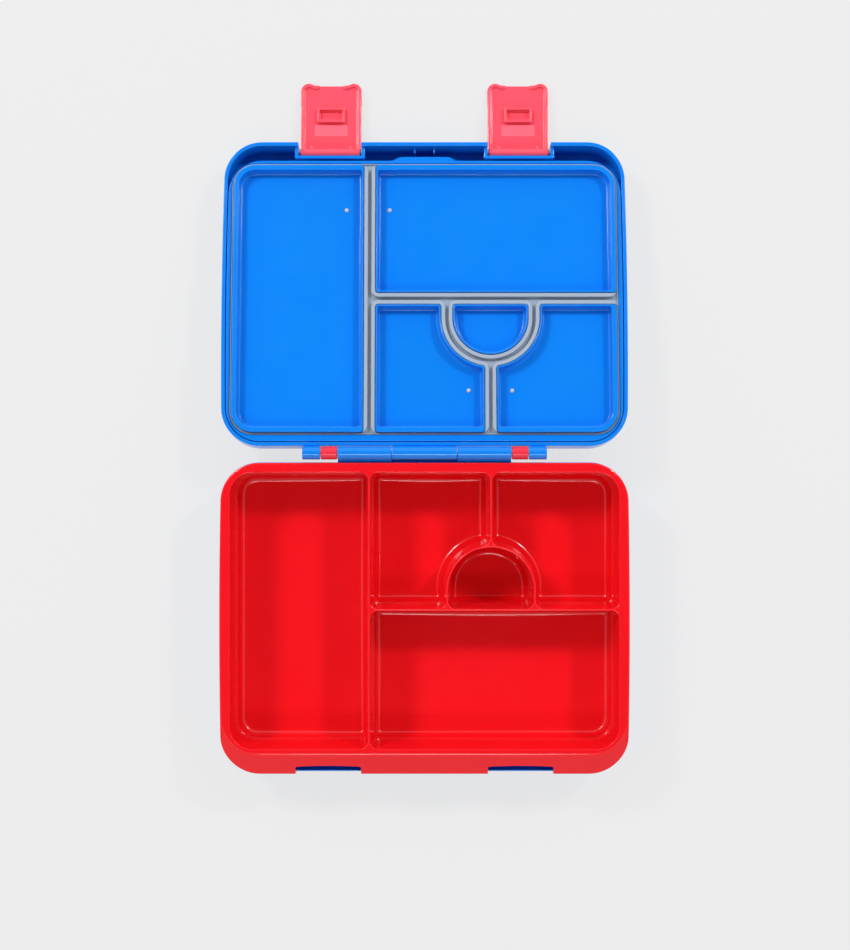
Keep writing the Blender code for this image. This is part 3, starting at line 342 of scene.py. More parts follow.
class BentoSettings(bpy.types.PropertyGroup):
    """All settings of the lunch box."""

    box: PointerProperty(type=BoxSizes)
    tray: PointerProperty(type=TraySizes)
    base: PointerProperty(type=BaseSizes)
    lid: PointerProperty(type=LidSizes)
    plate: PointerProperty(type=PlateSizes)
    hinge: PointerProperty(type=HingeSizes)
    latch: PointerProperty(type=LatchSizes)
    colours: PointerProperty(type=Colours)
    stage: PointerProperty(type=StageSizes)


GROUPS = ("box", "tray", "base", "lid", "plate", "hinge", "latch")


def measures():
    """All sizes by name, with the heights and places that follow from them."""
    settings = bpy.context.scene.bento
    m = SimpleNamespace()
    for group in (getattr(settings, name) for name in GROUPS):
        for name in type(group).__annotations__:
            setattr(m, name, getattr(group, name))
    m.half_width = m.box_width / 2 - m.side_bow
    m.front, m.back = -m.box_length / 2, m.box_length / 2
    m.floor_z = m.base_floor + m.floor_gap + m.tray_floor
    m.rim_z = m.floor_z + m.tray_depth
    m.opening_half = m.box_width / 2 - m.rim_side
    m.opening_front, m.opening_back = m.front + m.rim_front, m.back - m.rim_back
    m.lid_front, m.lid_back = m.front + m.lid_front_setback, m.back + m.lid_back_overhang
    m.lid_bottom = m.rim_z + m.fit_gap
    m.lid_crown = m.lid_bottom + m.lid_height
    m.lid_ceiling = m.lid_crown - m.lid_top
    m.lid_drop_share = 1 - (m.lid_front_setback + m.lid_wall) / m.apron_run
    m.web_bottom = m.rim_z + m.plate_lift
    m.web_top = m.web_bottom + m.plate_web
    m.skirt = m.rim_z + m.skirt_clear
    m.pan_bottom = m.rim_z - m.plug_reach
    m.pan_ceiling = m.pan_bottom + m.pan_depth
    m.pan_top = m.pan_ceiling + m.pan_floor
    m.seal_top = m.web_bottom - m.fit_gap
    m.recess_width = m.latch_width + 2 * m.latch_side_gap
    m.recess_y = m.front + m.recess_depth
    m.pivot_y = m.lid_front + m.pocket_depth - m.latch_barrel - m.fit_gap
    m.pivot_z = m.rim_z + m.pivot_height
    m.skin_y = m.front - m.base_reveal - m.fit_gap
    m.outer_face = m.skin_y - m.latch_skin
    m.catch_bottom = m.pivot_z - m.catch_distance + m.fit_gap
    m.catch_front = m.skin_y + m.latch_rim_height + m.fit_gap
    return m


# Outlines in the plan of the box


def quarter(steps):
    """The angles of a quarter turn, in even steps."""
    return np.linspace(0.0, math.pi / 2, steps + 1)


def ease(share):
    """A smooth step: s^2 (3 - 2 s), with s held between 0 and 1."""
    share = np.clip(share, 0.0, 1.0)
    return share**2 * (3 - 2 * share)


def box_outline(half_width, front, back, radius, bow=0.0):
    """A rounded rectangle: quarter circles joined by even runs, with x moved out at its sides by
    bow * (1 - y^2)."""
    run = np.linspace(0.0, 1.0, SIDE_STEPS + 1)[1:-1, None]
    reach = (half_width - radius, (back - front) / 2 - radius)
    middles = np.array([(1, -1), (1, 1), (-1, 1), (-1, -1)]) * reach
    angle = quarter(CORNER_STEPS) + np.radians([-90, 0, 90, 180])[:, None]
    corners = middles[:, None] + radius * np.stack([np.cos(angle), np.sin(angle)], -1)
    starts, ends = corners[:, -1], np.roll(corners[:, 0], -1, axis=0)
    sides = starts[:, None] + run * (ends - starts)[:, None]
    outline = np.concatenate([corners, sides], axis=1).reshape(-1, 2)
    lengthwise = outline[:, 1] / ((back - front) / 2)
    outline[:, 0] += bow * outline[:, 0] / half_width * (1 - lengthwise**2)
    outline[:, 1] += (front + back) / 2
    return outline


def rim_outline(m, inset):
    """The tray's outer edge, moved inwards all round."""
    return box_outline(
        m.half_width - inset, m.front + inset, m.back - inset, m.corner_radius - inset, m.side_bow
    )


def lid_outline(m, inset):
    """The lid's outer edge, moved inwards all round."""
    return box_outline(
        m.half_width - inset, m.lid_front + inset, m.lid_back - inset, m.corner_radius - inset, m.side_bow
    )


def plate_outline(m, extra=0.0):
    """The seal plate's outer edge, moved inwards by extra."""
    inset = m.lid_wall + m.plate_gap + extra
    front = m.opening_front - m.plate_front_lap + extra
    return box_outline(m.half_width - inset, front, m.lid_back - inset, m.corner_radius - inset, m.side_bow)


def opening_outline(m, inset):
    """The edge of the tray's whole opening, moved inwards all round."""
    radius = max(m.opening_radius - inset, m.least_fillet)
    return box_outline(m.opening_half - inset, m.opening_front + inset, m.opening_back - inset, radius)


def apron_drop(m, outline):
    """How far the rim has fallen at each point: a smooth step from 0 where the apron's lead starts to the
    whole drop in front."""
    return m.apron_drop * ease((m.front + m.apron_lead - outline[:, 1]) / m.apron_lead)


# One corner of a compartment: its sharp point, its fillet, and the edge that runs on to the next corner.
# A fillet of None is a smooth join. The edge is straight unless it has a centre to run round.
Corner = namedtuple("Corner", "point fillet wall centre")


def compartments(m):
    """The sharp outlines of the five compartments, anticlockwise, at the level of the rim."""
    half = m.divider_top / 2
    left, right = -m.opening_half, m.opening_half
    front, back = m.opening_front, m.opening_back
    beside = (m.long_divider_x - half, m.long_divider_x + half)
    above, below = m.cross_divider_y + half, m.cross_divider_y - half
    middle = (m.arch_x, m.cross_divider_y + m.arch_leg)
    outside, inside = m.arch_radius + half, m.arch_radius - half
    crown = middle[1] + math.sqrt(outside**2 - half**2)
    wide = m.opening_radius

    def at(x, y, fillet=m.divider_fillet, wall="divider", centre=None):
        return Corner((x, y), fillet, wall, centre)

    return {
        "long": (
            at(left, front, wide, "rim"),
            at(beside[0], front),
            at(beside[0], back, wall="rim"),
            at(left, back, wide, "rim"),
        ),
        "wide": (
            at(beside[1], front, wall="rim"),
            at(right, front, wide, "rim"),
            at(right, below),
            at(beside[1], below),
        ),
        "back_left": (
            at(beside[1], above),
            at(m.arch_x - outside, above),
            at(m.arch_x - outside, middle[1], None, centre=middle),
            at(m.arch_x - half, crown),
            at(m.arch_x - half, back, wall="rim"),
            at(beside[1], back),
        ),
        "back_right": (
            at(m.arch_x + outside, above),
            at(right, above, wall="rim"),
            at(right, back, wide, "rim"),
            at(m.arch_x + half, back),
            at(m.arch_x + half, crown, centre=middle),
            at(m.arch_x + outside, middle[1], None),
        ),
        "arch": (
            at(m.arch_x - inside, above),
            at(m.arch_x + inside, above),
            at(m.arch_x + inside, middle[1], None, centre=middle),
            at(m.arch_x - inside, middle[1], None),
        ),
    }


# An edge moved inwards. A straight one has a point and a direction, a round one a centre and a radius.
Edge = namedtuple("Edge", "point direction centre radius turn", defaults=(None, None, None))


def edge_between(corner, following, inset):
    start, end = np.array(corner.point), np.array(following.point)
    if corner.centre is None:
        direction = (end - start) / np.linalg.norm(end - start)
        return Edge(start + inset * np.array([-direction[1], direction[0]]), direction)
    centre = np.array(corner.centre)
    first, second = start - centre, end - centre
    # A half turn has no sense of its own, and here it is always the arch seen from inside
    turn = 1.0 if first[0] * second[1] - first[1] * second[0] > -TINY else -1.0
    return Edge(None, None, centre, np.linalg.norm(first) - turn * inset, turn)


def foot_on(edge, point):
    """The point of an edge nearest to a given point."""
    if edge.centre is None:
        return edge.point + np.dot(point - edge.point, edge.direction) * edge.direction
    away = point - edge.centre
    return edge.centre + edge.radius * away / np.linalg.norm(away)


def meeting_point(edge, other, near):
    """Where two edges, straight or round, cross nearest to a given point."""
    if edge.centre is None and other.centre is None:
        matrix = np.column_stack([edge.direction, -other.direction])
        return edge.point + np.linalg.solve(matrix, other.point - edge.point)[0] * edge.direction
    line, circle = (edge, other) if edge.centre is None else (other, edge)
    foot = foot_on(line, circle.centre)
    half_chord = math.sqrt(max(circle.radius**2 - np.sum((foot - circle.centre) ** 2), 0.0))
    ends = [foot + sign * half_chord * line.direction for sign in (-1, 1)]
    return min(ends, key=lambda end: np.sum((end - near) ** 2))


def arc(centre, start, end, turn, steps):
    """Points round a centre, with angle and radius both going evenly from start's to end's. A turn of 1 is
    anticlockwise."""
    first = math.atan2(start[1] - centre[1], start[0] - centre[0])
    last = math.atan2(end[1] - centre[1], end[0] - centre[0])
    sweep = (turn * (last - first)) % (2 * math.pi)
    angle = first + turn * np.linspace(0.0, sweep, steps + 1)
    radius = np.linspace(np.hypot(*(start - centre)), np.hypot(*(end - centre)), steps + 1)
    return np.column_stack([centre[0] + radius * np.cos(angle), centre[1] + radius * np.sin(angle)])


def compartment_outline(m, corners, rim_inset, divider_inset):
    """A compartment's outline: corner arcs, arch arcs and even straight runs, with each edge moved in as its
    wall asks."""
    insets = {"rim": rim_inset, "divider": divider_inset}
    count = len(corners)
    arrivals, departures, fillets = [], [], []
    for index, corner in enumerate(corners):
        before, after = corners[index - 1], corners[(index + 1) % count]
        inset_before, inset_after = insets[before.wall], insets[corner.wall]
        if corner.fillet is None:
            edges = (edge_between(before, corner, inset_before), edge_between(corner, after, inset_after))
            straight, round_one = edges if edges[0].centre is None else edges[::-1]
            join = foot_on(straight, round_one.centre)
            arrivals.append(join)
            departures.append(join)
            fillets.append(None)
            continue
        radius = max(corner.fillet - max(inset_before, inset_after), m.least_fillet)
        centre = meeting_point(
            edge_between(before, corner, inset_before + radius),
            edge_between(corner, after, inset_after + radius),
            np.array(corner.point),
        )
        arrivals.append(foot_on(edge_between(before, corner, inset_before), centre))
        departures.append(foot_on(edge_between(corner, after, inset_after), centre))
        fillets.append(centre)
    points = []
    for index, corner in enumerate(corners):
        after = (index + 1) % count
        if fillets[index] is None:
            points.append(departures[index][None])
        else:
            points.append(arc(fillets[index], arrivals[index], departures[index], 1, CORNER_STEPS))
        if corner.centre is None:
            run = np.linspace(departures[index], arrivals[after], SIDE_STEPS + 1)
        else:
            edge = edge_between(corner, corners[after], insets[corner.wall])
            run = arc(edge.centre, departures[index], arrivals[after], edge.turn, 2 * ARCH_STEPS)
        points.append(run[1:-1])
    return np.concatenate(points)


def plug_outline(m, corners, extra):
    """The outside of a pan's ridge, which plugs into its compartment, moved inwards by extra."""
    return compartment_outline(m, corners, m.plug_rim_inset + extra, m.plug_divider_inset + extra)


def pan_outline(m, corners, extra):
    """The inside of that ridge, wide beside the rim and slim beside a divider, moved inwards by extra."""
    return compartment_outline(
        m, corners, m.plug_rim_inset + m.rim_ridge + extra, m.plug_divider_inset + m.divider_ridge + extra
    )


# Surfaces


def lift(outline, height):
    """An outline as points in space, at one height or at a height for each point."""
    return np.column_stack([outline, np.broadcast_to(height, len(outline))])


def towards(here, there, distance, most):
    """Points moved from here towards there by a distance, or by the most share of the way if that is
    shorter."""
    gap = there - here
    span = np.maximum(np.linalg.norm(gap, axis=1, keepdims=True), TINY)
    return here + gap * np.minimum(distance / span, most)


def rounded(rings, radii):
    """A profile through key rings whose corners are rounded. At each inner ring the straight runs stop short
    by its radius, at a and c, and the parabola (1 - t)^2 a + 2 t (1 - t) b + t^2 c joins them round the
    ring's own point b."""
    made = [rings[0]]
    last = len(rings) - 2
    for index, radius in enumerate(radii, 1):
        here = rings[index]
        start = towards(here, rings[index - 1], radius, 1.0 if index == 1 else 0.5)
        end = towards(here, rings[index + 1], radius, 1.0 if index == last else 0.5)
        count = FILLET_STEPS if radius > SMALL_ROUND else EDGE_STEPS
        t = np.linspace(0.0, 1.0, count + 1)[:, None, None]
        made.extend((1 - t) ** 2 * start + 2 * t * (1 - t) * here + t**2 * end)
    made.append(rings[-1])
    return np.array(made)


class Surface:
    """Gathers grids and flat sheets of points into one closed mesh, and welds their shared points."""

    def __init__(self):
        self.points, self.faces, self.total = [], [], 0

    def take(self, points, faces):
        points = np.asarray(points).reshape(-1, 3)
        self.points.append(points)
        self.faces += (np.asarray(faces) + self.total).tolist()
        self.total += len(points)

    def band(self, rings, loop=False):
        """Quads of a grid: point p of ring r with p + 1 and r + 1. Points run round, and so do the rings of a
        loop."""
        count, around = rings.shape[:2]
        ring = np.arange(count if loop else count - 1)[:, None]
        point = np.arange(around)
        after, above = (point + 1) % around, (ring + 1) % count
        here, there = ring * around, above * around
        quads = (here + point, here + after, there + after, there + point)
        self.take(rings, np.stack(quads, -1).reshape(-1, 4))
        return self

    def cap(self, ring):
        """One flat face inside a ring."""
        self.take(ring, np.arange(len(ring))[None])
        return self

    def web(self, outer, holes):
        """A flat sheet between an outer ring and its holes, as triangles between their points."""
        loops = [outer, *holes]
        self.take(np.concatenate(loops), tessellate_polygon([loop.tolist() for loop in loops]))
        return self

    def mesh(self, name):
        mesh = bpy.data.meshes.new(name)
        mesh.from_pydata(np.concatenate(self.points), [], self.faces)
        shape = bmesh.new()
        shape.from_mesh(mesh)
        bmesh.ops.remove_doubles(shape, verts=shape.verts, dist=WELD)
        bmesh.ops.recalc_face_normals(shape, faces=shape.faces)
        shape.to_mesh(mesh)
        shape.free()
        return mesh


def capped(name, rings, radii):
    """A closed solid: a rounded profile carried round a path, with its first and last ring filled."""
    skin = rounded(rings, radii)
    return Surface().band(skin).cap(skin[0]).cap(skin[-1]).mesh(name)


def prism(name, outline, low, high):
    """An outline carried straight up from one height to another."""
    rings = np.array([lift(outline, low), lift(outline, high)])
    return Surface().band(rings).cap(rings[0]).cap(rings[1]).mesh(name)


def block(name, x, half_width, depth, height, edge=SOFT):
    """A block with softened edges: a rounded rectangle carried up, and drawn in at top and bottom. It lies
    evenly about x, and between the two ends of its depth and of its height."""
    low = np.array((x - half_width, depth[0], height[0]))
    high = np.array((x + half_width, depth[1], height[1]))
    centre, half = (low + high) / 2, (high - low) / 2
    angle = (quarter(EDGE_STEPS) + np.radians([-90, 0, 90, 180])[:, None]).reshape(-1)
    sign = np.repeat([(1, -1), (1, 1), (-1, 1), (-1, -1)], EDGE_STEPS + 1, axis=0)

    def plan(inset):
        radius = max(edge - inset, LEAST_SHARE * edge)
        round_part = radius * np.column_stack([np.cos(angle), np.sin(angle)])
        return centre[:2] + sign * (half[:2] - inset - radius) + round_part

    stations = ((edge, low[2]), (0.0, low[2]), (0.0, high[2]), (edge, high[2]))
    return capped(name, [lift(plan(inset), level) for inset, level in stations], (edge, edge))


def across(name, profile, start, end):
    """A profile of points in Y and Z carried along X, with softened ends."""
    middle = profile.mean(axis=0)
    draw = 1 - SOFT / np.linalg.norm(profile - middle, axis=1).max()
    rings = []
    for x, share in ((start, draw), (start, 1.0), (end, 1.0), (end, draw)):
        rings.append(np.column_stack([np.full(len(profile), x), middle + share * (profile - middle)]))
    return capped(name, rings, (SOFT, SOFT))


def turned(name, profile, centre, axis, bore=False):
    """A profile of distances along and out from an axis, spun round it: (along, out cos a, out sin a)."""
    angle = np.linspace(0.0, 2 * math.pi, ROUND_STEPS, endpoint=False)
    along, out = np.array(profile, float).T
    first, second = [other for other in range(3) if other != axis]
    rings = np.empty((len(along), ROUND_STEPS, 3))
    rings[..., axis] = centre[axis] + along[:, None]
    rings[..., first] = centre[first] + out[:, None] * np.cos(angle)
    rings[..., second] = centre[second] + out[:, None] * np.sin(angle)
    surface = Surface().band(rings, loop=bore)
    if not bore:
        surface.cap(rings[0]).cap(rings[-1])
    return surface.mesh(name)


def rod_profile(start, end, radius, edge):
    """Along and out for a bar with quarter rounds at both ends."""
    angle = quarter(EDGE_STEPS)[::-1]
    along, out = edge * (1 - np.sin(angle)), radius - edge * (1 - np.cos(angle))
    return np.concatenate([np.column_stack([start + along, out]), np.column_stack([end - along, out])[::-1]])


def sleeve_profile(start, end, radius, bore, edge):
    """Along and out for a sleeve: a bar's profile outside, and a straight bore inside."""
    return np.concatenate([rod_profile(start, end, radius, edge), [(end, bore), (start, bore)]])


def combine(mesh, steps):
    """Joins meshes to a mesh or cuts them from it, in order, with exact Booleans."""
    meshes = [mesh, *(other for other, _ in steps)]
    things = [bpy.data.objects.new(f"work {number}", each) for number, each in enumerate(meshes)]
    for thing in things:
        bpy.context.scene.collection.objects.link(thing)
    for other, (_, operation) in zip(things[1:], steps):
        modifier = things[0].modifiers.new(operation, "BOOLEAN")
        modifier.operation = operation
        modifier.solver = "EXACT"
        modifier.object = other
    graph = bpy.context.evaluated_depsgraph_get()
    made = bpy.data.meshes.new_from_object(things[0].evaluated_get(graph))
    for thing in things:
        bpy.data.objects.remove(thing)
    if not made.polygons:
        raise RuntimeError(f"joining and cutting left nothing of {mesh.name}")
    return made


def opening_turn():
    """The turn about the hinge that takes a lid piece from its closed place to its place at rest."""
    return Matrix.Translation(HINGE) @ Matrix.Rotation(LID_TURN, 4, "X") @ Matrix.Translation(-HINGE)


def latch_turn(m):
    """The same for a latch, which first swings out on its own pin."""
    pivot = Vector((0.0, m.pivot_y, m.pivot_z))
    swing = Matrix.Translation(pivot) @ Matrix.Rotation(LATCH_TURN, 4, "X") @ Matrix.Translation(-pivot)
    return opening_turn() @ swing


def place(name, mesh, look, body, nodes, turn=None):
    """Makes a finished piece: in its place at rest, with its finish, on its body, in place of CAD nodes."""
    if turn is not None:
        mesh.transform(turn)
    mesh.shade_smooth()
    mesh.set_sharp_from_angle(angle=SHARP)
    mesh.materials.clear()
    mesh.materials.append(finish(look))
    piece = bpy.data.objects.new(name, mesh)
    bpy.context.scene.collection.objects.link(piece)
    normals = piece.modifiers.new("flat faces lead", "WEIGHTED_NORMAL")
    normals.keep_sharp = True
    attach(piece, body)
    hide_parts(*nodes)
    return piece


# Materials

# Most of a noise lies between these, and patches of gloss are this many times finer than flow clouds
NOISE_SPAN = (0.3, 0.7)
PATCH_FINENESS = 4


def add_node(tree, kind, inputs=None, **settings):
    """Adds a node with its settings. Each input takes a value, or the output socket that feeds it."""
    node = tree.nodes.new(kind)
    for name, value in settings.items():
        setattr(node, name, value)
    for name, value in (inputs or {}).items():
        if isinstance(value, bpy.types.NodeSocket):
            tree.links.new(value, node.inputs[name])
        else:
            node.inputs[name].default_value = value
    return node


def per_metre(millimetres):
    """A noise scale whose features are about that far apart."""
    return 1.0 / (millimetres * MM)


def shades(colour, darker, lighter):
    """A darker and a lighter tint of a colour, with full alpha."""
    colour = np.array(colour)
    return (*(colour * darker), 1.0), (*np.clip(colour * lighter, 0.0, 1.0), 1.0)


def blank(name):
    """A new material, with its node tree, its shader, and where each point lies on the piece."""
    material = bpy.data.materials.new(name)
    material.use_nodes = True
    tree = material.node_tree
    where = add_node(tree, "ShaderNodeTexCoord").outputs["Object"]
    return material, tree, tree.nodes["Principled BSDF"], where


def clouded(tree, shader, cloud, colour, tints):
    """Lets a piece's colour drift between a darker and a lighter tint, as a noise does."""
    dark, light = shades(colour, *tints)
    inputs = {"Factor": cloud, "A": dark, "B": light}
    tint = add_node(tree, "ShaderNodeMix", inputs, data_type="RGBA")
    tree.links.new(tint.outputs["Result"], shader.inputs["Base Color"])


# How a moulded skin looks: its colour, the span of its roughness, the sizes of its flow clouds and its peel
# and the depth of the peel in millimetres, its IOR, and the span of its tints
Skin = namedtuple("Skin", "colour gloss flow_mm peel_mm depth_mm ior tints", defaults=(1.5, (0.95, 1.03)))
EVEN = (0.985, 1.015)
SKINS = {
    # Polished mould: clear narrow highlights on the rounds, and a faint orange peel across flat floors
    "polypropylene_gloss_moulded_red": Skin("tray_red", (0.11, 0.17), 60.0, 2.4, 0.002),
    # Polished mould: bright edges and soft reflections of the lamps
    "abs_gloss_moulded_blue": Skin("shell_blue", (0.12, 0.19), 50.0, 2.2, 0.002),
    # Small polished rings: one bright line along the top of each
    "abs_gloss_moulded_red": Skin("collar_red", (0.2, 0.28), 10.0, 1.2, 0.004),
    # A thinner moulding, bright along the rounds of its rim and slightly uneven where it cooled
    "abs_satin_moulded_coral": Skin("latch_red", (0.17, 0.25), 18.0, 1.4, 0.003, 1.53, EVEN),
    # The pad comes off a spark-eroded patch of the mould and is matt. Its colour is also painted paler than
    # the skin round it, as painted light for the extra light its matt skin catches
    "abs_eroded_moulded_coral": Skin("latch_pad", (0.5, 0.6), 18.0, 0.5, 0.02, 1.53, EVEN),
    # Soft and matt, with a powdery bloom
    "silicone_rubber_moulded_grey": Skin("silicone_grey", (0.5, 0.68), 12.0, 0.9, 0.012, 1.43),
    # Smooth and milky: each small head is a pale dot with one soft highlight
    "polypropylene_moulded_white": Skin("peg_white", (0.16, 0.24), 6.0, 0.8, 0.003),
}


def moulded(name, colour, skin):
    """A moulded piece: broad flow clouds in its colour, smaller patches in its gloss, and a fine peel."""
    material, tree, shader, where = blank(name)
    shader.inputs["IOR"].default_value = skin.ior
    scales = (skin.flow_mm, skin.flow_mm / PATCH_FINENESS, skin.peel_mm)
    noises = []
    for scale, detail in zip(scales, (2.0, 3.0, 2.0)):
        inputs = {"Vector": where, "Scale": per_metre(scale), "Detail": detail}
        noises.append(add_node(tree, "ShaderNodeTexNoise", inputs).outputs["Fac"])
    flow, patch, peel = noises
    clouded(tree, shader, flow, colour, skin.tints)
    inputs = {"Value": patch, "From Min": NOISE_SPAN[0], "From Max": NOISE_SPAN[1]}
    inputs.update({"To Min": skin.gloss[0], "To Max": skin.gloss[1]})
    dull = add_node(tree, "ShaderNodeMapRange", inputs)
    tree.links.new(dull.outputs["Result"], shader.inputs["Roughness"])
    inputs = {"Height": peel, "Strength": 1.0, "Distance": skin.depth_mm * MM}
    relief = add_node(tree, "ShaderNodeBump", inputs)
    tree.links.new(relief.outputs["Normal"], shader.inputs["Normal"])
    return material


# Lines of the drawn wire, as bright streaks along it: how far apart they are, drawn coarser than real ones so
# that they show, how many times longer than that, and the spans of their roughness and tints
LINE_MM = 0.15
LINE_STRETCH = 50
STEEL_GLOSS = (0.22, 0.4)
STEEL_TINTS = (0.8, 1.05)


def drawn_steel(name, colour):
    """Drawn stainless wire: bright, with fine lines along its length from the die."""
    material, tree, shader, where = blank(name)
    shader.inputs["Metallic"].default_value = 1.0
    along = add_node(tree, "ShaderNodeMapping", {"Vector": where, "Scale": (1 / LINE_STRETCH, 1.0, 1.0)})
    inputs = {"Vector": along.outputs["Vector"], "Scale": per_metre(LINE_MM), "Detail": 3.0}
    lines = add_node(tree, "ShaderNodeTexNoise", inputs).outputs["Fac"]
    clouded(tree, shader, lines, colour, STEEL_TINTS)
    inputs = {"Value": lines, "To Min": STEEL_GLOSS[0], "To Max": STEEL_GLOSS[1]}
    dull = add_node(tree, "ShaderNodeMapRange", inputs)
    tree.links.new(dull.outputs["Result"], shader.inputs["Roughness"])
    return material


def finish(name):
    """The material of that name, made on its first use."""
    if name in bpy.data.materials:
        return bpy.data.materials[name]
    colours = bpy.context.scene.bento.colours
    if name == "stainless_steel_drawn":
        return drawn_steel(name, colours.rod_steel)
    return moulded(name, getattr(colours, SKINS[name].colour), SKINS[name])


# Pieces

# Rounds of the tray's rim, from where it leaves the wall out along its underside, then up and over its edge
RIM_ROUNDS = (0.8 * MM, 0.3 * MM, 0.4 * MM, 0.7 * MM, 1.6 * MM)
# The flat top of the rim is handed over to the web between the compartments this far in
WEB_INSET = 1.0 * MM


class BENTO_OT_tray(bpy.types.Operator):
    """Builds the lift-out tray with its five compartments"""

    bl_idname = "bento.tray"
    bl_label = "Tray"

    def execute(self, context):
        m = measures()
        lean = math.tan(m.tray_draft)
        under = m.rim_z - m.rim_thickness
        foot = m.floor_z - m.tray_floor

        def flat(inset):
            return box_outline(
                m.half_width - m.rim_edge - inset,
                m.front + m.apron_run + inset,
                m.back - m.rim_edge - inset,
                m.corner_radius - m.rim_edge - inset,
                m.side_bow,
            )

        edge, ledge = rim_outline(m, 0.0), rim_outline(m, m.base_wall - m.base_reveal + m.fit_gap)
        foot_inset = (m.rim_z - foot) * lean - m.tray_wall
        rings = [
            lift(opening_outline(m, foot_inset + FOOT_RUN * m.tray_fillet), foot),
            lift(opening_outline(m, foot_inset), foot),
            lift(opening_outline(m, m.rim_thickness * lean - m.tray_wall), under),
            lift(ledge, under - apron_drop(m, ledge)),
            lift(edge, under - apron_drop(m, edge)),
            lift(edge, m.rim_z - m.rim_edge / 2 - apron_drop(m, edge)),
            lift(flat(0.0), m.rim_z),
            lift(flat(WEB_INSET), m.rim_z),
        ]
        skin = rounded(rings, (m.tray_fillet + m.tray_wall, *RIM_ROUNDS))
        surface = Surface().band(skin).cap(skin[0])
        holes = []
        for corners in compartments(m).values():
            depth_inset = m.tray_depth * lean
            walls = []
            for inset, height in (
                (-m.tray_lip, m.rim_z),
                (0.0, m.rim_z),
                (depth_inset, m.floor_z),
                (depth_inset + FLOOR_RUN * m.tray_fillet, m.floor_z),
            ):
                walls.append(lift(compartment_outline(m, corners, inset, inset), height))
            inside = rounded(walls, (m.tray_lip, m.tray_fillet))
            surface.band(inside).cap(inside[-1])
            holes.append(inside[0])
        surface.web(skin[-1], holes)
        notches = []
        for sign in SIDES.values():
            notch = recess_block("tray notch", m, sign, m.floor_z, m.rim_z + OVERRUN)
            notches.append((notch, CUT))
        mesh = combine(surface.mesh("tray"), notches)
        look = "polypropylene_gloss_moulded_red"
        place("lift_out_tray", mesh, look, "tray", ["tray"])
        return {"FINISHED"}


# Round of a latch recess's inner corners, and rounds of the base's top edge outside and inside
RECESS_CORNER = 1.0 * MM
BASE_ROUNDS = (0.5 * MM, 0.4 * MM)


def recess_block(name, m, sign, low, high):
    """The space of a latch recess: straight cheeks, rounded inner corners, and a back edge that bows by
    bow * (1 - u^2)."""
    half = m.recess_width / 2
    flat_half, corner_y = half - RECESS_CORNER, m.recess_y - RECESS_CORNER
    turn = quarter(EDGE_STEPS)
    run = np.linspace(1.0, -1.0, SIDE_STEPS + 1)[1:-1]
    right = np.column_stack(
        [flat_half + np.cos(turn) * RECESS_CORNER, corner_y + np.sin(turn) * RECESS_CORNER]
    )
    middle = np.column_stack([flat_half * run, m.recess_y + m.recess_bow * (1 - run**2)])
    front = np.array([[-half, m.front - OVERRUN], [half, m.front - OVERRUN]])
    outline = np.concatenate([front, right, middle, right[::-1] * (-1, 1)])
    outline[:, 0] += sign * m.latch_x
    return prism(name, outline, low, high)


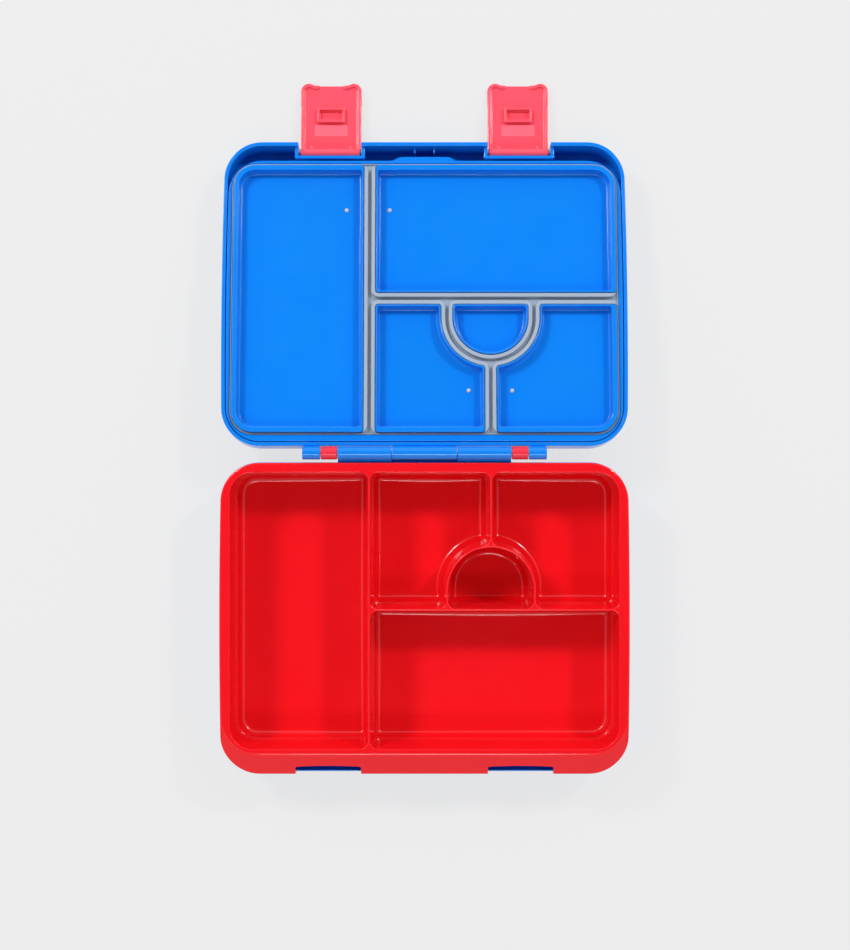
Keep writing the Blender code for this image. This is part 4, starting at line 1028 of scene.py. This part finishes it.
class BENTO_OT_base(bpy.types.Operator):
    """Builds the base shell with its latch recesses, catches and hinge knuckles"""

    bl_idname = "bento.base"
    bl_label = "Base"

    def execute(self, context):
        m = measures()

        def outer(inset):
            return rim_outline(m, inset - m.base_reveal)

        top = m.rim_z - m.rim_thickness - m.fit_gap
        outside, inside = outer(0.0), outer(m.base_wall)
        spread = SHELL_RUN * m.base_fillet
        rings = [
            lift(outer(m.base_taper + spread), 0.0),
            lift(outer(m.base_taper), 0.0),
            lift(outside, top - apron_drop(m, outside)),
            lift(inside, top - apron_drop(m, inside)),
            lift(outer(m.base_taper + m.base_wall), m.base_floor),
            lift(outer(m.base_taper + m.base_wall + spread), m.base_floor),
        ]
        shell = capped("base", rings, (m.base_fillet, *BASE_ROUNDS, m.base_fillet))
        steps = []
        for sign in SIDES.values():
            steps += self.catch(m, sign)
            steps += self.knuckle(m, sign)
        steps.append((self.rail(m), JOIN))
        mesh = combine(shell, steps)
        look = "abs_gloss_moulded_blue"
        place("base_shell_moulding", mesh, look, "base", ["base_shell"])
        return {"FINISHED"}

    def catch(self, m, sign):
        """The wall behind a latch, its recess, and the hollow catch that the hook takes."""
        x, half = sign * m.latch_x, m.recess_width / 2
        liner_top = m.rim_z - m.rim_thickness - m.apron_drop - m.fit_gap
        liner_foot = m.base_floor - BITE
        wall_middle = m.front - m.base_reveal + m.base_wall / 2
        behind = m.recess_y + m.base_wall + m.recess_bow
        profile = np.array(
            [
                (wall_middle, liner_top),
                (wall_middle + m.base_taper, m.base_fillet),
                (behind - m.base_wall / 2, liner_foot),
                (behind, liner_foot),
                (behind, liner_top),
            ]
        )
        liner = across("liner", profile, x - half - m.base_wall, x + half + m.base_wall)
        recess = recess_block("recess", m, sign, m.recess_floor, m.rim_z)
        recess_back = m.recess_y + m.recess_bow
        depth, height = (m.catch_front, recess_back + BITE), (m.catch_bottom, liner_top)
        catch = block("catch", x, half + BITE, depth, height, BLUNT)
        depth = (m.catch_front + m.catch_bar, recess_back + m.slot_bite)
        height = (m.catch_bottom + m.catch_bar, liner_top + OVERRUN)
        slot = block("catch slot", x, half + m.slot_bite, depth, height, CRISP)
        return [(liner, JOIN), (recess, CUT), (catch, JOIN), (slot, CUT)]

    def rail(self, m):
        """The shelf under the lid's centre knuckle that ties the two brackets together."""
        half = m.centre_knuckle / 2 + m.fit_gap + BITE
        top = HINGE.z - m.barrel_radius - m.fit_gap
        behind_wall = m.back + m.base_reveal - m.base_wall / 2
        depth, height = (behind_wall, HINGE.y - BITE), (top - m.rail_thickness, top)
        return block("rail", 0.0, half, depth, height, PLAIN)

    def knuckle(self, m, sign):
        """A barrel behind the base, on a bracket that stays clear of the lid's swing."""
        start, end = knuckle_span(m, 1, sign)
        wall, back = m.back + m.base_reveal, HINGE.y + m.bracket_behind
        shelf = m.rim_z - m.rim_thickness - 2 * m.fit_gap
        profile = np.array(
            [
                (back, HINGE.z - 2 * m.fit_gap),
                (back, HINGE.z - m.bracket_depth / 2),
                (wall, HINGE.z - m.bracket_depth),
                (wall - m.base_wall / 2, HINGE.z - m.bracket_depth),
                (wall - m.base_wall / 2, shelf),
                (wall + m.fit_gap, shelf),
                (wall + 2 * m.fit_gap, HINGE.z - 2 * m.fit_gap),
            ]
        )
        return [
            (across("bracket", profile, start, end), JOIN),
            (barrel(m, start, end), JOIN),
            (bore(m, start - OVERRUN, end + OVERRUN), CUT),
        ]


def knuckle_span(m, place_out, sign):
    """Where a piece of the barrel lies, counted outwards: centre knuckle, base, collar, outer knuckle."""
    lengths = (m.centre_knuckle / 2, m.base_knuckle, m.collar_length, m.outer_knuckle)
    start = sum(lengths[:place_out]) + m.fit_gap * place_out
    return tuple(sorted((sign * start, sign * (start + lengths[place_out]))))


def barrel(m, start, end):
    """A solid stretch of the hinge barrel."""
    profile = rod_profile(start, end, m.barrel_radius, m.barrel_round)
    return turned("barrel", profile, (0.0, *HINGE.yz), 0)


def bore(m, start, end):
    """The space that a rod takes up in the barrel, with its clearance."""
    radius = m.rod_radius + m.rod_gap
    return turned("bore", [(start, radius), (end, radius)], (0.0, *HINGE.yz), 0)


class BENTO_OT_collars(bpy.types.Operator):
    """Builds the two red collars on the hinge"""

    bl_idname = "bento.collars"
    bl_label = "Hinge collars"

    def execute(self, context):
        m = measures()
        for side, sign in SIDES.items():
            start, end = knuckle_span(m, 2, sign)
            profile = sleeve_profile(start, end, m.barrel_radius, m.rod_radius + m.rod_gap, FULL)
            mesh = turned("collar", profile, (0.0, *HINGE.yz), 0, bore=True)
            nodes = [f"hinge_collar_{side}"]
            place(f"hinge_sleeve_{side}", mesh, "abs_gloss_moulded_red", "base", nodes)
        return {"FINISHED"}


class BENTO_OT_steel(bpy.types.Operator):
    """Gives the hinge rods and latch pins their drawn steel"""

    bl_idname = "bento.steel"
    bl_label = "Rods and pins"

    def execute(self, context):
        for side in SIDES:
            for node in (f"hinge_rod_{side}", f"latch_pin_{side}"):
                slots = frame["nodes"][node].data.materials
                slots.clear()
                slots.append(finish("stainless_steel_drawn"))
        return {"FINISHED"}


class BENTO_OT_lid(bpy.types.Operator):
    """Builds the lid shell with its latch pockets, hinge knuckles, peg bosses and ribs"""

    bl_idname = "bento.lid"
    bl_label = "Lid"

    def execute(self, context):
        m = measures()
        outside, inside = lid_outline(m, 0.0), lid_outline(m, m.lid_wall)
        rings = [
            lift(lid_outline(m, SHELL_RUN * m.lid_fillet), m.lid_crown),
            lift(outside, m.lid_crown),
            lift(outside, self.lower_edge(m, outside)),
            lift(inside, self.lower_edge(m, inside)),
            lift(inside, m.lid_ceiling),
            lift(lid_outline(m, m.lid_wall + SHELL_RUN * m.lid_inner_fillet), m.lid_ceiling),
        ]
        shell = capped("lid", rings, (m.lid_fillet, BROAD, BROAD, m.lid_inner_fillet))
        steps = []
        for sign in SIDES.values():
            steps += self.pocket(m, sign)
        spans = [((-m.centre_knuckle / 2, m.centre_knuckle / 2), 0.0)]
        spans += [(knuckle_span(m, 3, sign), m.neck_shoulder) for sign in SIDES.values()]
        depth = (m.lid_back - m.lid_wall / 2, HINGE.y)
        height = (m.lid_bottom + m.fit_gap, HINGE.z + m.neck_rise)
        for (start, end), shoulder in spans:
            neck = block("neck", (start + end) / 2, (end - start) / 2 - shoulder, depth, height)
            steps += [(neck, JOIN), (barrel(m, start, end), JOIN)]
        inner_end = m.centre_knuckle / 2 - m.rod_grip - 2 * m.fit_gap
        for sign in SIDES.values():
            outer_end = max(map(abs, knuckle_span(m, 3, sign))) + OVERRUN
            steps.append((bore(m, *sorted((sign * inner_end, sign * outer_end))), CUT))
        for x, y in peg_places(m):
            low, high = m.pan_top + m.fit_gap, m.lid_ceiling + m.lid_top / 2
            boss = rod_profile(low, high, m.boss_radius, PLAIN)
            radius = m.peg_radius + m.fit_gap
            socket = [(m.pan_top - OVERRUN, radius), (m.pan_ceiling + m.peg_length + m.fit_gap, radius)]
            steps.append((turned("boss", boss, (x, y, 0.0), 2), JOIN))
            steps.append((turned("socket", socket, (x, y, 0.0), 2), CUT))
        depth = (m.lid_front + m.lid_wall / 2, m.lid_front + m.lid_wall + m.rib_depth)
        height = (m.web_bottom, m.lid_ceiling + m.lid_top / 2)
        for sign in SIDES.values():
            rib = block("rib", sign * m.rib_spread / 2, m.rib_thickness / 2, depth, height, PLAIN)
            steps.append((rib, JOIN))
        mesh = combine(shell, steps)
        look = "abs_gloss_moulded_blue"
        place("lid_moulding", mesh, look, "lid", ["lid_shell"], opening_turn())
        return {"FINISHED"}

    def lower_edge(self, m, outline):
        """The lid's lower edge, which follows the tray's apron down at the front."""
        return m.lid_bottom - m.lid_drop_share * apron_drop(m, outline)

    def pocket(self, m, sign):
        """A pocket in the front wall for a latch, with a hole for its pin through both cheeks."""
        x, half = sign * m.latch_x, m.latch_width / 2 + m.pocket_gap
        outer = m.recess_width / 2 + m.pocket_wall
        inner_face = m.lid_front + m.pocket_depth
        depth = (m.lid_front + m.lid_wall - BITE, inner_face + m.pocket_wall)
        cheeks = block("cheeks", x, outer, depth, (m.lid_bottom, m.lid_ceiling + BITE), PLAIN)
        height = (m.lid_bottom - m.apron_drop - OVERRUN, m.lid_ceiling)
        space = block("space", x, half, (m.lid_front - OVERRUN, inner_face), height, PLAIN)
        reach, radius = outer + OVERRUN, m.latch_pin_radius + m.rod_gap
        hole = turned("hole", [(x - reach, radius), (x + reach, radius)], (0.0, m.pivot_y, m.pivot_z), 0)
        return [(cheeks, JOIN), (space, CUT), (hole, CUT)]


def peg_places(m):
    """Where the four pegs stand: a pair at the front of the lid and a pair at the back."""
    half = m.peg_spread / 2
    return (
        (m.front_peg_x - half, m.front_peg_y),
        (m.front_peg_x + half, m.front_peg_y),
        (m.arch_x - half, m.back_peg_y),
        (m.arch_x + half, m.back_peg_y),
    )


# Rounds of the plate's skirt, from its top edge down and round into the seal's groove
SKIRT_ROUNDS = (0.4 * MM, 0.5 * MM, 0.35 * MM, 0.2 * MM)
# The web starts this far in from the plate's edge. The back of a pan stands up as a cup: its flat top is
# capped this far in from its wall, with this round between them
PLATE_EDGE = 1.2 * MM
CUP_INSET = 2.0 * MM
CUP_ROUND = 1.0 * MM


class BENTO_OT_plate(bpy.types.Operator):
    """Builds the seal plate with a shallow pan over each compartment"""

    bl_idname = "bento.plate"
    bl_label = "Seal plate"

    def execute(self, context):
        m = measures()
        groove = opening_outline(m, -m.skirt_groove)
        rings = [
            lift(plate_outline(m, PLATE_EDGE), m.web_top),
            lift(plate_outline(m), m.web_top),
            lift(plate_outline(m), m.skirt),
            lift(groove, m.skirt),
            lift(groove, m.web_bottom),
            lift(opening_outline(m, -m.skirt_groove / 2), m.web_bottom),
        ]
        skirt = rounded(rings, SKIRT_ROUNDS)
        surface = Surface().band(skirt)
        cups, plugs = [], []
        foot = m.pan_depth * math.tan(m.pan_draft)
        for corners in compartments(m).values():
            walls = [
                lift(plug_outline(m, corners, 0.0), m.web_bottom),
                lift(plug_outline(m, corners, 0.0), m.pan_bottom),
                lift(pan_outline(m, corners, 0.0), m.pan_bottom),
                lift(pan_outline(m, corners, foot), m.pan_ceiling),
                lift(pan_outline(m, corners, foot + PAN_RUN * m.pan_fillet), m.pan_ceiling),
            ]
            plug = rounded(walls, (BLUNT, BLUNT, m.pan_fillet))
            surface.band(plug).cap(plug[-1])
            plugs.append(plug[0])
            walls = []
            for inset, height in ((0.0, m.web_top), (0.0, m.pan_top), (CUP_INSET, m.pan_top)):
                walls.append(lift(plug_outline(m, corners, inset), height))
            cup = rounded(walls, (CUP_ROUND,))
            surface.band(cup).cap(cup[-1])
            cups.append(cup[0])
        surface.web(skirt[0], cups).web(skirt[-1], plugs)
        mesh = combine(surface.mesh("plate"), self.details(m))
        look = "abs_gloss_moulded_blue"
        place("seal_plate_moulding", mesh, look, "plate", ["seal_plate"], opening_turn())
        return {"FINISHED"}

    def details(self, m):
        """The finger tab on the front edge, whose flanks are smooth steps, and the holes of the four pegs."""
        front = m.opening_front - m.plate_front_lap
        share = np.linspace(0.0, 1.0, FILLET_STEPS + 1)
        flank = -m.tab_base / 2 + share * (m.tab_base - m.tab_end) / 2
        left = np.column_stack([flank, front - m.tab_reach * ease(share)])
        back = np.array([(m.tab_base / 2, front + BITE), (-m.tab_base / 2, front + BITE)])
        outline = np.concatenate([left, left[::-1] * (-1, 1), back])
        low = m.skirt + m.fit_gap
        steps = [(prism("tab", outline, low, low + m.tab_thickness), JOIN)]
        radius = m.peg_radius + m.fit_gap
        for x, y in peg_places(m):
            hole = [(m.pan_ceiling - OVERRUN, radius), (m.pan_top + OVERRUN, radius)]
            steps.append((turned("hole", hole, (x, y, 0.0), 2), CUT))
        return steps


# A lip starts to stand out where it is wider than this, and is full after this much more width
LIP_START = 0.3 * MM
LIP_GROWTH = 0.9 * MM
# Round along the bead that lies on the tray's rim
BEAD_ROUND = 0.2 * MM


class BENTO_OT_seal(bpy.types.Operator):
    """Builds the silicone seal: a bead along the rim, and twin lips along the dividers"""

    bl_idname = "bento.seal"
    bl_label = "Silicone seal"

    def execute(self, context):
        m = measures()
        groove = m.seal_top - m.seal_web
        outer, inner = opening_outline(m, -m.seal_overlap), opening_outline(m, 0.0)
        bead = [
            lift(outer, m.seal_top),
            lift(outer, m.rim_z + m.fit_gap),
            lift(inner, m.rim_z + m.fit_gap),
            lift(inner, groove),
        ]
        bead = rounded(bead, (BEAD_ROUND, BEAD_ROUND))
        surface = Surface().band(bead)
        above, below = [], []
        for corners in compartments(m).values():
            lip = self.lip(m, corners, groove)
            surface.band(lip)
            above.append(lip[0])
            below.append(lip[-1])
        mesh = surface.web(bead[0], above).web(bead[-1], below).mesh("seal")
        look, nodes = "silicone_rubber_moulded_grey", ["silicone_seal"]
        place("silicone_seal_moulding", mesh, look, "plate", nodes, opening_turn())
        return {"FINISHED"}

    def lip(self, m, corners, groove):
        """The wall of a hole in the seal, and the lip round it. A lip is as wide as the gap between the pan's
        ridge and the divider, and its height is a smooth step of that width, so it sinks away along the outer
        rim."""
        inner = plug_outline(m, corners, -m.fit_gap)
        outer = compartment_outline(m, corners, m.lip_gap, m.lip_gap)
        width = np.linalg.norm(outer - inner, axis=1)
        low = m.rim_z + m.fit_gap
        crest = low - (low - m.rim_z + m.lip_reach) * ease((width - LIP_START) / LIP_GROWTH)
        rings = [lift(inner, m.seal_top), lift(inner, crest), lift(outer, crest), lift(outer, groove)]
        return rounded(rings, (BROAD, BROAD))


class BENTO_OT_pegs(bpy.types.Operator):
    """Builds the four pegs that hold the seal plate"""

    bl_idname = "bento.pegs"
    bl_label = "Pegs"

    def execute(self, context):
        m = measures()
        head = m.pan_ceiling - m.fit_gap
        dome = quarter(FILLET_STEPS)[1:]
        profile = np.concatenate(
            [
                np.column_stack([head - m.peg_head * np.cos(dome), m.peg_head_radius * np.sin(dome)]),
                [(head, m.peg_radius), (m.pan_ceiling + m.peg_length, m.peg_radius)],
            ]
        )
        for number, (x, y) in enumerate(peg_places(m), 1):
            mesh = turned("peg", profile, (x, y, 0.0), 2)
            look, nodes = "polypropylene_moulded_white", [f"seal_peg_{number}"]
            place(f"plate_peg_{number}", mesh, look, "plate", nodes, opening_turn())
        return {"FINISHED"}


# Rounds of a latch's edge: its outer face, the outside and inside of its rim, and the rim's foot
LATCH_ROUNDS = (0.8 * MM, 0.7 * MM, 0.6 * MM, 0.8 * MM)
# Where its flat faces are capped, the least round of its heel, and the run over which its waist draws in
LATCH_FLAT = 2.0 * MM
LEAST_HEEL = 0.3 * MM
WAIST_RUN = 2.0 * MM
# The gap in its rim starts this far outside the gap's own width, and deepens over this run
GAP_LEAD = 0.9 * MM
GAP_RUN = 1.3 * MM
# The root stops just under the barrel's top, and the pad starts just above the hook
ROOT_SINK = 0.02 * MM
PAD_OFFSET = 0.6 * MM
# How far the gusset runs down below the hook's ledge, half its thickness, and the edge of an ejector mark
GUSSET_DROP = 2.2 * MM
GUSSET_HALF = 0.35 * MM
MARK_EDGE = 0.08 * MM


class BENTO_OT_latches(bpy.types.Operator):
    """Builds the two latches with their rims, hooks and pivot barrels"""

    bl_idname = "bento.latches"
    bl_label = "Latches"

    def execute(self, context):
        m = measures()
        for side, sign in SIDES.items():
            mesh = combine(self.dish(m, sign * m.latch_x), self.fittings(m, sign * m.latch_x))
            # The tops of the pad and the ejector marks take the paler coral, which is painted light
            on_pad = self.pad_faces(m, mesh)
            name = f"latch_{side}"
            look = "abs_satin_moulded_coral"
            place(f"{name}_moulding", mesh, look, name, [name], latch_turn(m))
            mesh.materials.append(finish("abs_eroded_moulded_coral"))
            mesh.polygons.foreach_set("material_index", on_pad.astype(np.int32))
        return {"FINISHED"}

    def outline(self, m, inset):
        """A latch seen from inside, across and down from its pivot: quarter circles at the root and the tip,
        a tip that dips between the ears by a smooth step, and sides that draw in below the ears by
        another."""
        half = m.latch_width / 2 - inset
        root, tip = -m.latch_barrel + inset, m.latch_reach - inset
        heel = max(m.root_corner - inset, LEAST_HEEL)
        ear = max(m.latch_corner - inset, m.least_fillet)
        turn = quarter(CORNER_STEPS)
        run = np.linspace(root + heel, tip - ear, TIP_STEPS // 2)[1:-1]
        right = np.concatenate(
            [
                np.column_stack([half - heel + heel * np.sin(turn), root + heel - heel * np.cos(turn)]),
                np.column_stack([np.full_like(run, half), run]),
                np.column_stack([half - ear + ear * np.cos(turn), tip - ear + ear * np.sin(turn)]),
            ]
        )
        right[:, 0] -= m.latch_waist * ease((m.latch_reach - m.ear_length - right[:, 1]) / WAIST_RUN)
        start = half - ear
        over = np.linspace(start, -start, TIP_STEPS + 1)[1:-1]
        dip = m.ear_rise * ease((start - np.abs(over)) / (m.ear_width - m.latch_corner))
        return np.concatenate([right, np.column_stack([over, tip - dip]), right[::-1] * (-1, 1)])

    def dish(self, m, x):
        """The face and the rim of a latch. The rim's height is full but for a gap at the tip, where it falls
        to nothing by a smooth step of the distance from the middle, and narrows by the same step."""

        def ring(inset, depth):
            flat = self.outline(m, inset)
            y = m.outer_face + np.broadcast_to(depth, len(flat))
            return np.column_stack([x + flat[:, 0], y, m.pivot_z - flat[:, 1]])

        plan = self.outline(m, 0.0)
        at_tip = plan[:, 1] > m.latch_reach - m.latch_corner
        gap = at_tip * ease((m.tip_gap / 2 + GAP_LEAD - np.abs(plan[:, 0])) / GAP_RUN)
        rim = m.latch_skin + m.latch_rim_height * (1 - gap)

        def inner(depth):
            broad, slim = ring(m.latch_rim, depth), ring(m.slim_rim, depth)
            return broad + (slim - broad) * gap[:, None]

        rings = [
            ring(LATCH_FLAT, 0.0),
            ring(0.0, 0.0),
            ring(0.0, rim),
            inner(rim),
            inner(m.latch_skin),
            ring(m.latch_rim + LATCH_FLAT, m.latch_skin),
        ]
        return capped("latch", rings, LATCH_ROUNDS)

    def pad_faces(self, m, mesh):
        """Which faces lie on the top of the pad or of an ejector mark. They take the paler coral that is
        painted light.
        """
        centres = np.empty(3 * len(mesh.polygons))
        mesh.polygons.foreach_get("center", centres)
        return np.abs(centres[1::3] - m.skin_y - m.pad_rise) < WELD

    def fittings(self, m, x):
        """The root and barrel with the pin's bore, the hook's frame with its gusset, the pad, and the marks
        of two ejector pins."""
        half = m.latch_width / 2 - m.root_corner
        height = (m.pivot_z, m.pivot_z + m.latch_barrel - ROOT_SINK)
        root = block("root", x, half, (m.outer_face + m.latch_skin / 2, m.pivot_y), height, FULL)
        pivot = (0.0, m.pivot_y, m.pivot_z)
        roll_half = m.latch_width / 2 - m.fit_gap
        roll = rod_profile(x - roll_half, x + roll_half, m.latch_barrel, FULL)
        roll = turned("roll", roll, pivot, 0)
        reach, radius = m.latch_width / 2 + OVERRUN, m.latch_pin_radius + m.rod_gap
        pin_bore = turned("pin bore", [(x - reach, radius), (x + reach, radius)], pivot, 0)
        hook_top, out = m.pivot_z - m.catch_distance, m.skin_y + m.hook_depth
        foot, ledge, inside = hook_top - m.hook_height, hook_top - m.hook_ledge, m.skin_y - m.latch_skin / 2
        hook = block("hook", x, m.hook_width / 2, (inside, out), (foot, hook_top), BROAD)
        depth, height = (m.skin_y, out + OVERRUN), (foot + m.hook_wall, ledge)
        window = block("window", x, m.hook_width / 2 - m.hook_wall, depth, height, PLAIN)
        root_y = m.skin_y - BITE
        fin = np.array([(root_y, ledge + BITE), (out - BITE, ledge + BITE), (root_y, ledge - GUSSET_DROP)])
        gusset = across("gusset", fin, x - GUSSET_HALF, x + GUSSET_HALF)
        pad_foot, pad_face = hook_top + PAD_OFFSET, m.skin_y + m.pad_rise
        height = (pad_foot, pad_foot + m.pad_height)
        pad = block("pad", x, m.pad_width / 2, (inside, pad_face), height, CRISP)
        mark = rod_profile(inside, pad_face, m.mark_radius, MARK_EDGE)
        marks = []
        for sign in SIDES.values():
            spot = (x + sign * m.mark_spread, 0.0, m.pivot_z - m.mark_distance)
            marks.append((turned("mark", mark, spot, 1), JOIN))
        return [
            *marks,
            (root, JOIN),
            (roll, JOIN),
            (hook, JOIN),
            (window, CUT),
            (gusset, JOIN),
            (pad, JOIN),
            (pin_bore, CUT),
        ]


# Stage


# A lamp's direction from the box in degrees, round from the right and up from the floor, and its two sides
# in metres. All stand equally far off
Lamp = namedtuple("Lamp", "name azimuth elevation sides")
LAMPS = (
    Lamp("left lamp", 138.0, 45.0, (0.36, 0.36)),
    Lamp("right lamp", 42.0, 45.0, (0.22, 0.22)),
    Lamp("front lamp", 270.0, 62.0, (0.5, 0.25)),
)
LAMP_DISTANCE = 2.0
FLOOR_HALF = 3.0
# What is seen of the floor is this much an even glow, and for the rest paper that takes the box's shadow
FLOOR_GLOW = 0.86
# The tent's light grows from front to back while the Y of a direction goes between these, and it falls
# towards the top between these angles from straight up, in degrees
TENT_FRONT_SPAN = (-0.6, 0.2)
TENT_TOP_SPAN = (40.0, 25.0)


class BENTO_OT_stage(bpy.types.Operator):
    """Makes the floor, the lamps and the camera of the product picture"""

    bl_idname = "bento.stage"
    bl_label = "Stage"

    def execute(self, context):
        m = measures()
        stage = context.scene.bento.stage
        self.floor(context.scene.bento.colours.floor)
        self.tent(context.scene, stage, context.scene.bento.colours.floor)
        middle = Vector((0.0, HINGE.y, m.rim_z))
        for lamp, power in zip(LAMPS, (stage.left_lamp, stage.right_lamp, stage.front_lamp)):
            self.lamp(lamp, middle, power)
        data = bpy.data.cameras.new("product camera")
        data.sensor_fit = "VERTICAL"
        data.sensor_height = 36.0
        data.lens = stage.lens
        data.shift_x, data.shift_y = stage.shift_x, stage.shift_y
        camera = bpy.data.objects.new("product camera", data)
        camera.location = middle + Vector((0.0, 0.0, stage.camera_height))
        context.scene.collection.objects.link(camera)
        context.scene.camera = camera
        context.scene.view_settings.view_transform = "Standard"
        return {"FINISHED"}

    def floor(self, pale):
        """A wide pale sheet that keeps a soft contact shadow, and shows its own pale colour to the camera."""
        mesh = bpy.data.meshes.new("floor")
        corners = FLOOR_HALF * np.array([(-1, -1, 0), (1, -1, 0), (1, 1, 0), (-1, 1, 0)])
        mesh.from_pydata(corners, [], [(0, 1, 2, 3)])
        material = bpy.data.materials.new("seamless_paper_pale")
        material.use_nodes = True
        tree = material.node_tree
        tree.nodes.clear()
        path = add_node(tree, "ShaderNodeLightPath").outputs
        seen = path["Is Camera Ray"]
        for ray in ("Is Glossy Ray", "Is Transmission Ray"):
            either = add_node(tree, "ShaderNodeMath", {0: seen, 1: path[ray]}, operation="MAXIMUM")
            seen = either.outputs["Value"]
        share = add_node(tree, "ShaderNodeMath", {0: seen, 1: FLOOR_GLOW}, operation="MULTIPLY")
        paper = add_node(tree, "ShaderNodeBsdfDiffuse", {"Color": (*pale, 1.0)})
        glow = add_node(tree, "ShaderNodeEmission", {"Color": (*pale, 1.0), "Strength": 1.0})
        inputs = {"Fac": share.outputs["Value"], 1: paper.outputs["BSDF"], 2: glow.outputs["Emission"]}
        both = add_node(tree, "ShaderNodeMixShader", inputs)
        add_node(tree, "ShaderNodeOutputMaterial", {"Surface": both.outputs["Shader"]})
        mesh.materials.append(material)
        sheet = bpy.data.objects.new("floor", mesh)
        bpy.context.scene.collection.objects.link(sheet)

    def tent(self, scene, stage, pale):
        """Soft light from the pale walls of a tent, dimmer in front and dim at the top, where the camera
        looks in. The light is a smooth step of height times one of depth. Where the camera looks past the
        floor, the tent shows the floor's own colour."""
        world = bpy.data.worlds.new("studio")
        world.use_nodes = True
        tree = world.node_tree
        tree.nodes.clear()
        way = add_node(tree, "ShaderNodeTexCoord").outputs["Generated"]
        parts = add_node(tree, "ShaderNodeSeparateXYZ", {"Vector": way}).outputs
        heights = [math.cos(math.radians(angle)) for angle in TENT_TOP_SPAN]
        spans = {
            "Z": (heights, (stage.tent, stage.tent_top)),
            "Y": (TENT_FRONT_SPAN, (stage.tent_front, 1.0)),
        }
        steps = []
        for axis, (where, strength) in spans.items():
            inputs = {"Value": parts[axis], "From Min": where[0], "From Max": where[1]}
            inputs.update({"To Min": strength[0], "To Max": strength[1]})
            step = add_node(tree, "ShaderNodeMapRange", inputs, interpolation_type="SMOOTHSTEP")
            steps.append(step.outputs["Result"])
        glow = add_node(tree, "ShaderNodeMath", dict(enumerate(steps)), operation="MULTIPLY")
        seen = add_node(tree, "ShaderNodeLightPath").outputs["Is Camera Ray"]
        inputs = {"Value": seen, "To Min": glow.outputs["Value"], "To Max": 1.0}
        strength = add_node(tree, "ShaderNodeMapRange", inputs).outputs["Result"]
        light = add_node(tree, "ShaderNodeBackground", {"Color": (*pale, 1.0), "Strength": strength})
        add_node(tree, "ShaderNodeOutputWorld", {"Surface": light.outputs["Background"]})
        scene.world = world

    def lamp(self, lamp, target, power):
        """A soft box that faces a target from its direction."""
        data = bpy.data.lights.new(lamp.name, "AREA")
        data.shape = "RECTANGLE"
        data.size, data.size_y = lamp.sides
        data.energy = power
        thing = bpy.data.objects.new(lamp.name, data)
        turn, rise = math.radians(lamp.azimuth), math.radians(lamp.elevation)
        way = Vector((math.cos(turn) * math.cos(rise), math.sin(turn) * math.cos(rise), math.sin(rise)))
        thing.location = target + LAMP_DISTANCE * way
        thing.rotation_euler = way.to_track_quat("Z", "Y").to_euler()
        bpy.context.scene.collection.objects.link(thing)


class BENTO_PT_panel(bpy.types.Panel):
    """Lists the pieces of the lunch box and its settings"""

    bl_idname = "BENTO_PT_panel"
    bl_label = "Bento lunch box"
    bl_space_type = "VIEW_3D"
    bl_region_type = "UI"
    bl_category = "Bento"

    def draw(self, context):
        for operator in OPERATORS:
            self.layout.operator(operator.bl_idname)
        for group in BentoSettings.__annotations__:
            values = getattr(context.scene.bento, group)
            column = self.layout.box().column()
            column.label(text=group.capitalize())
            for name in type(values).__annotations__:
                column.prop(values, name)


SETTINGS = (
    BoxSizes,
    TraySizes,
    BaseSizes,
    LidSizes,
    PlateSizes,
    HingeSizes,
    LatchSizes,
    Colours,
    StageSizes,
    BentoSettings,
)
OPERATORS = (
    BENTO_OT_stage,
    BENTO_OT_base,
    BENTO_OT_tray,
    BENTO_OT_collars,
    BENTO_OT_steel,
    BENTO_OT_lid,
    BENTO_OT_plate,
    BENTO_OT_seal,
    BENTO_OT_pegs,
    BENTO_OT_latches,
)
CLASSES = (*SETTINGS, *OPERATORS, BENTO_PT_panel)


def register():
    for each in CLASSES:
        bpy.utils.register_class(each)
    bpy.types.Scene.bento = PointerProperty(type=BentoSettings)


def unregister():
    del bpy.types.Scene.bento
    for each in reversed(CLASSES):
        bpy.utils.unregister_class(each)


def main():
    register()
    bpy.ops.bento.stage()
    bpy.ops.bento.base()
    bpy.ops.bento.tray()
    bpy.ops.bento.collars()
    bpy.ops.bento.steel()
    bpy.ops.bento.lid()
    bpy.ops.bento.plate()
    bpy.ops.bento.seal()
    bpy.ops.bento.pegs()
    bpy.ops.bento.latches()
    bpy.context.view_layer.update()


if __name__ == "__main__":
    main()
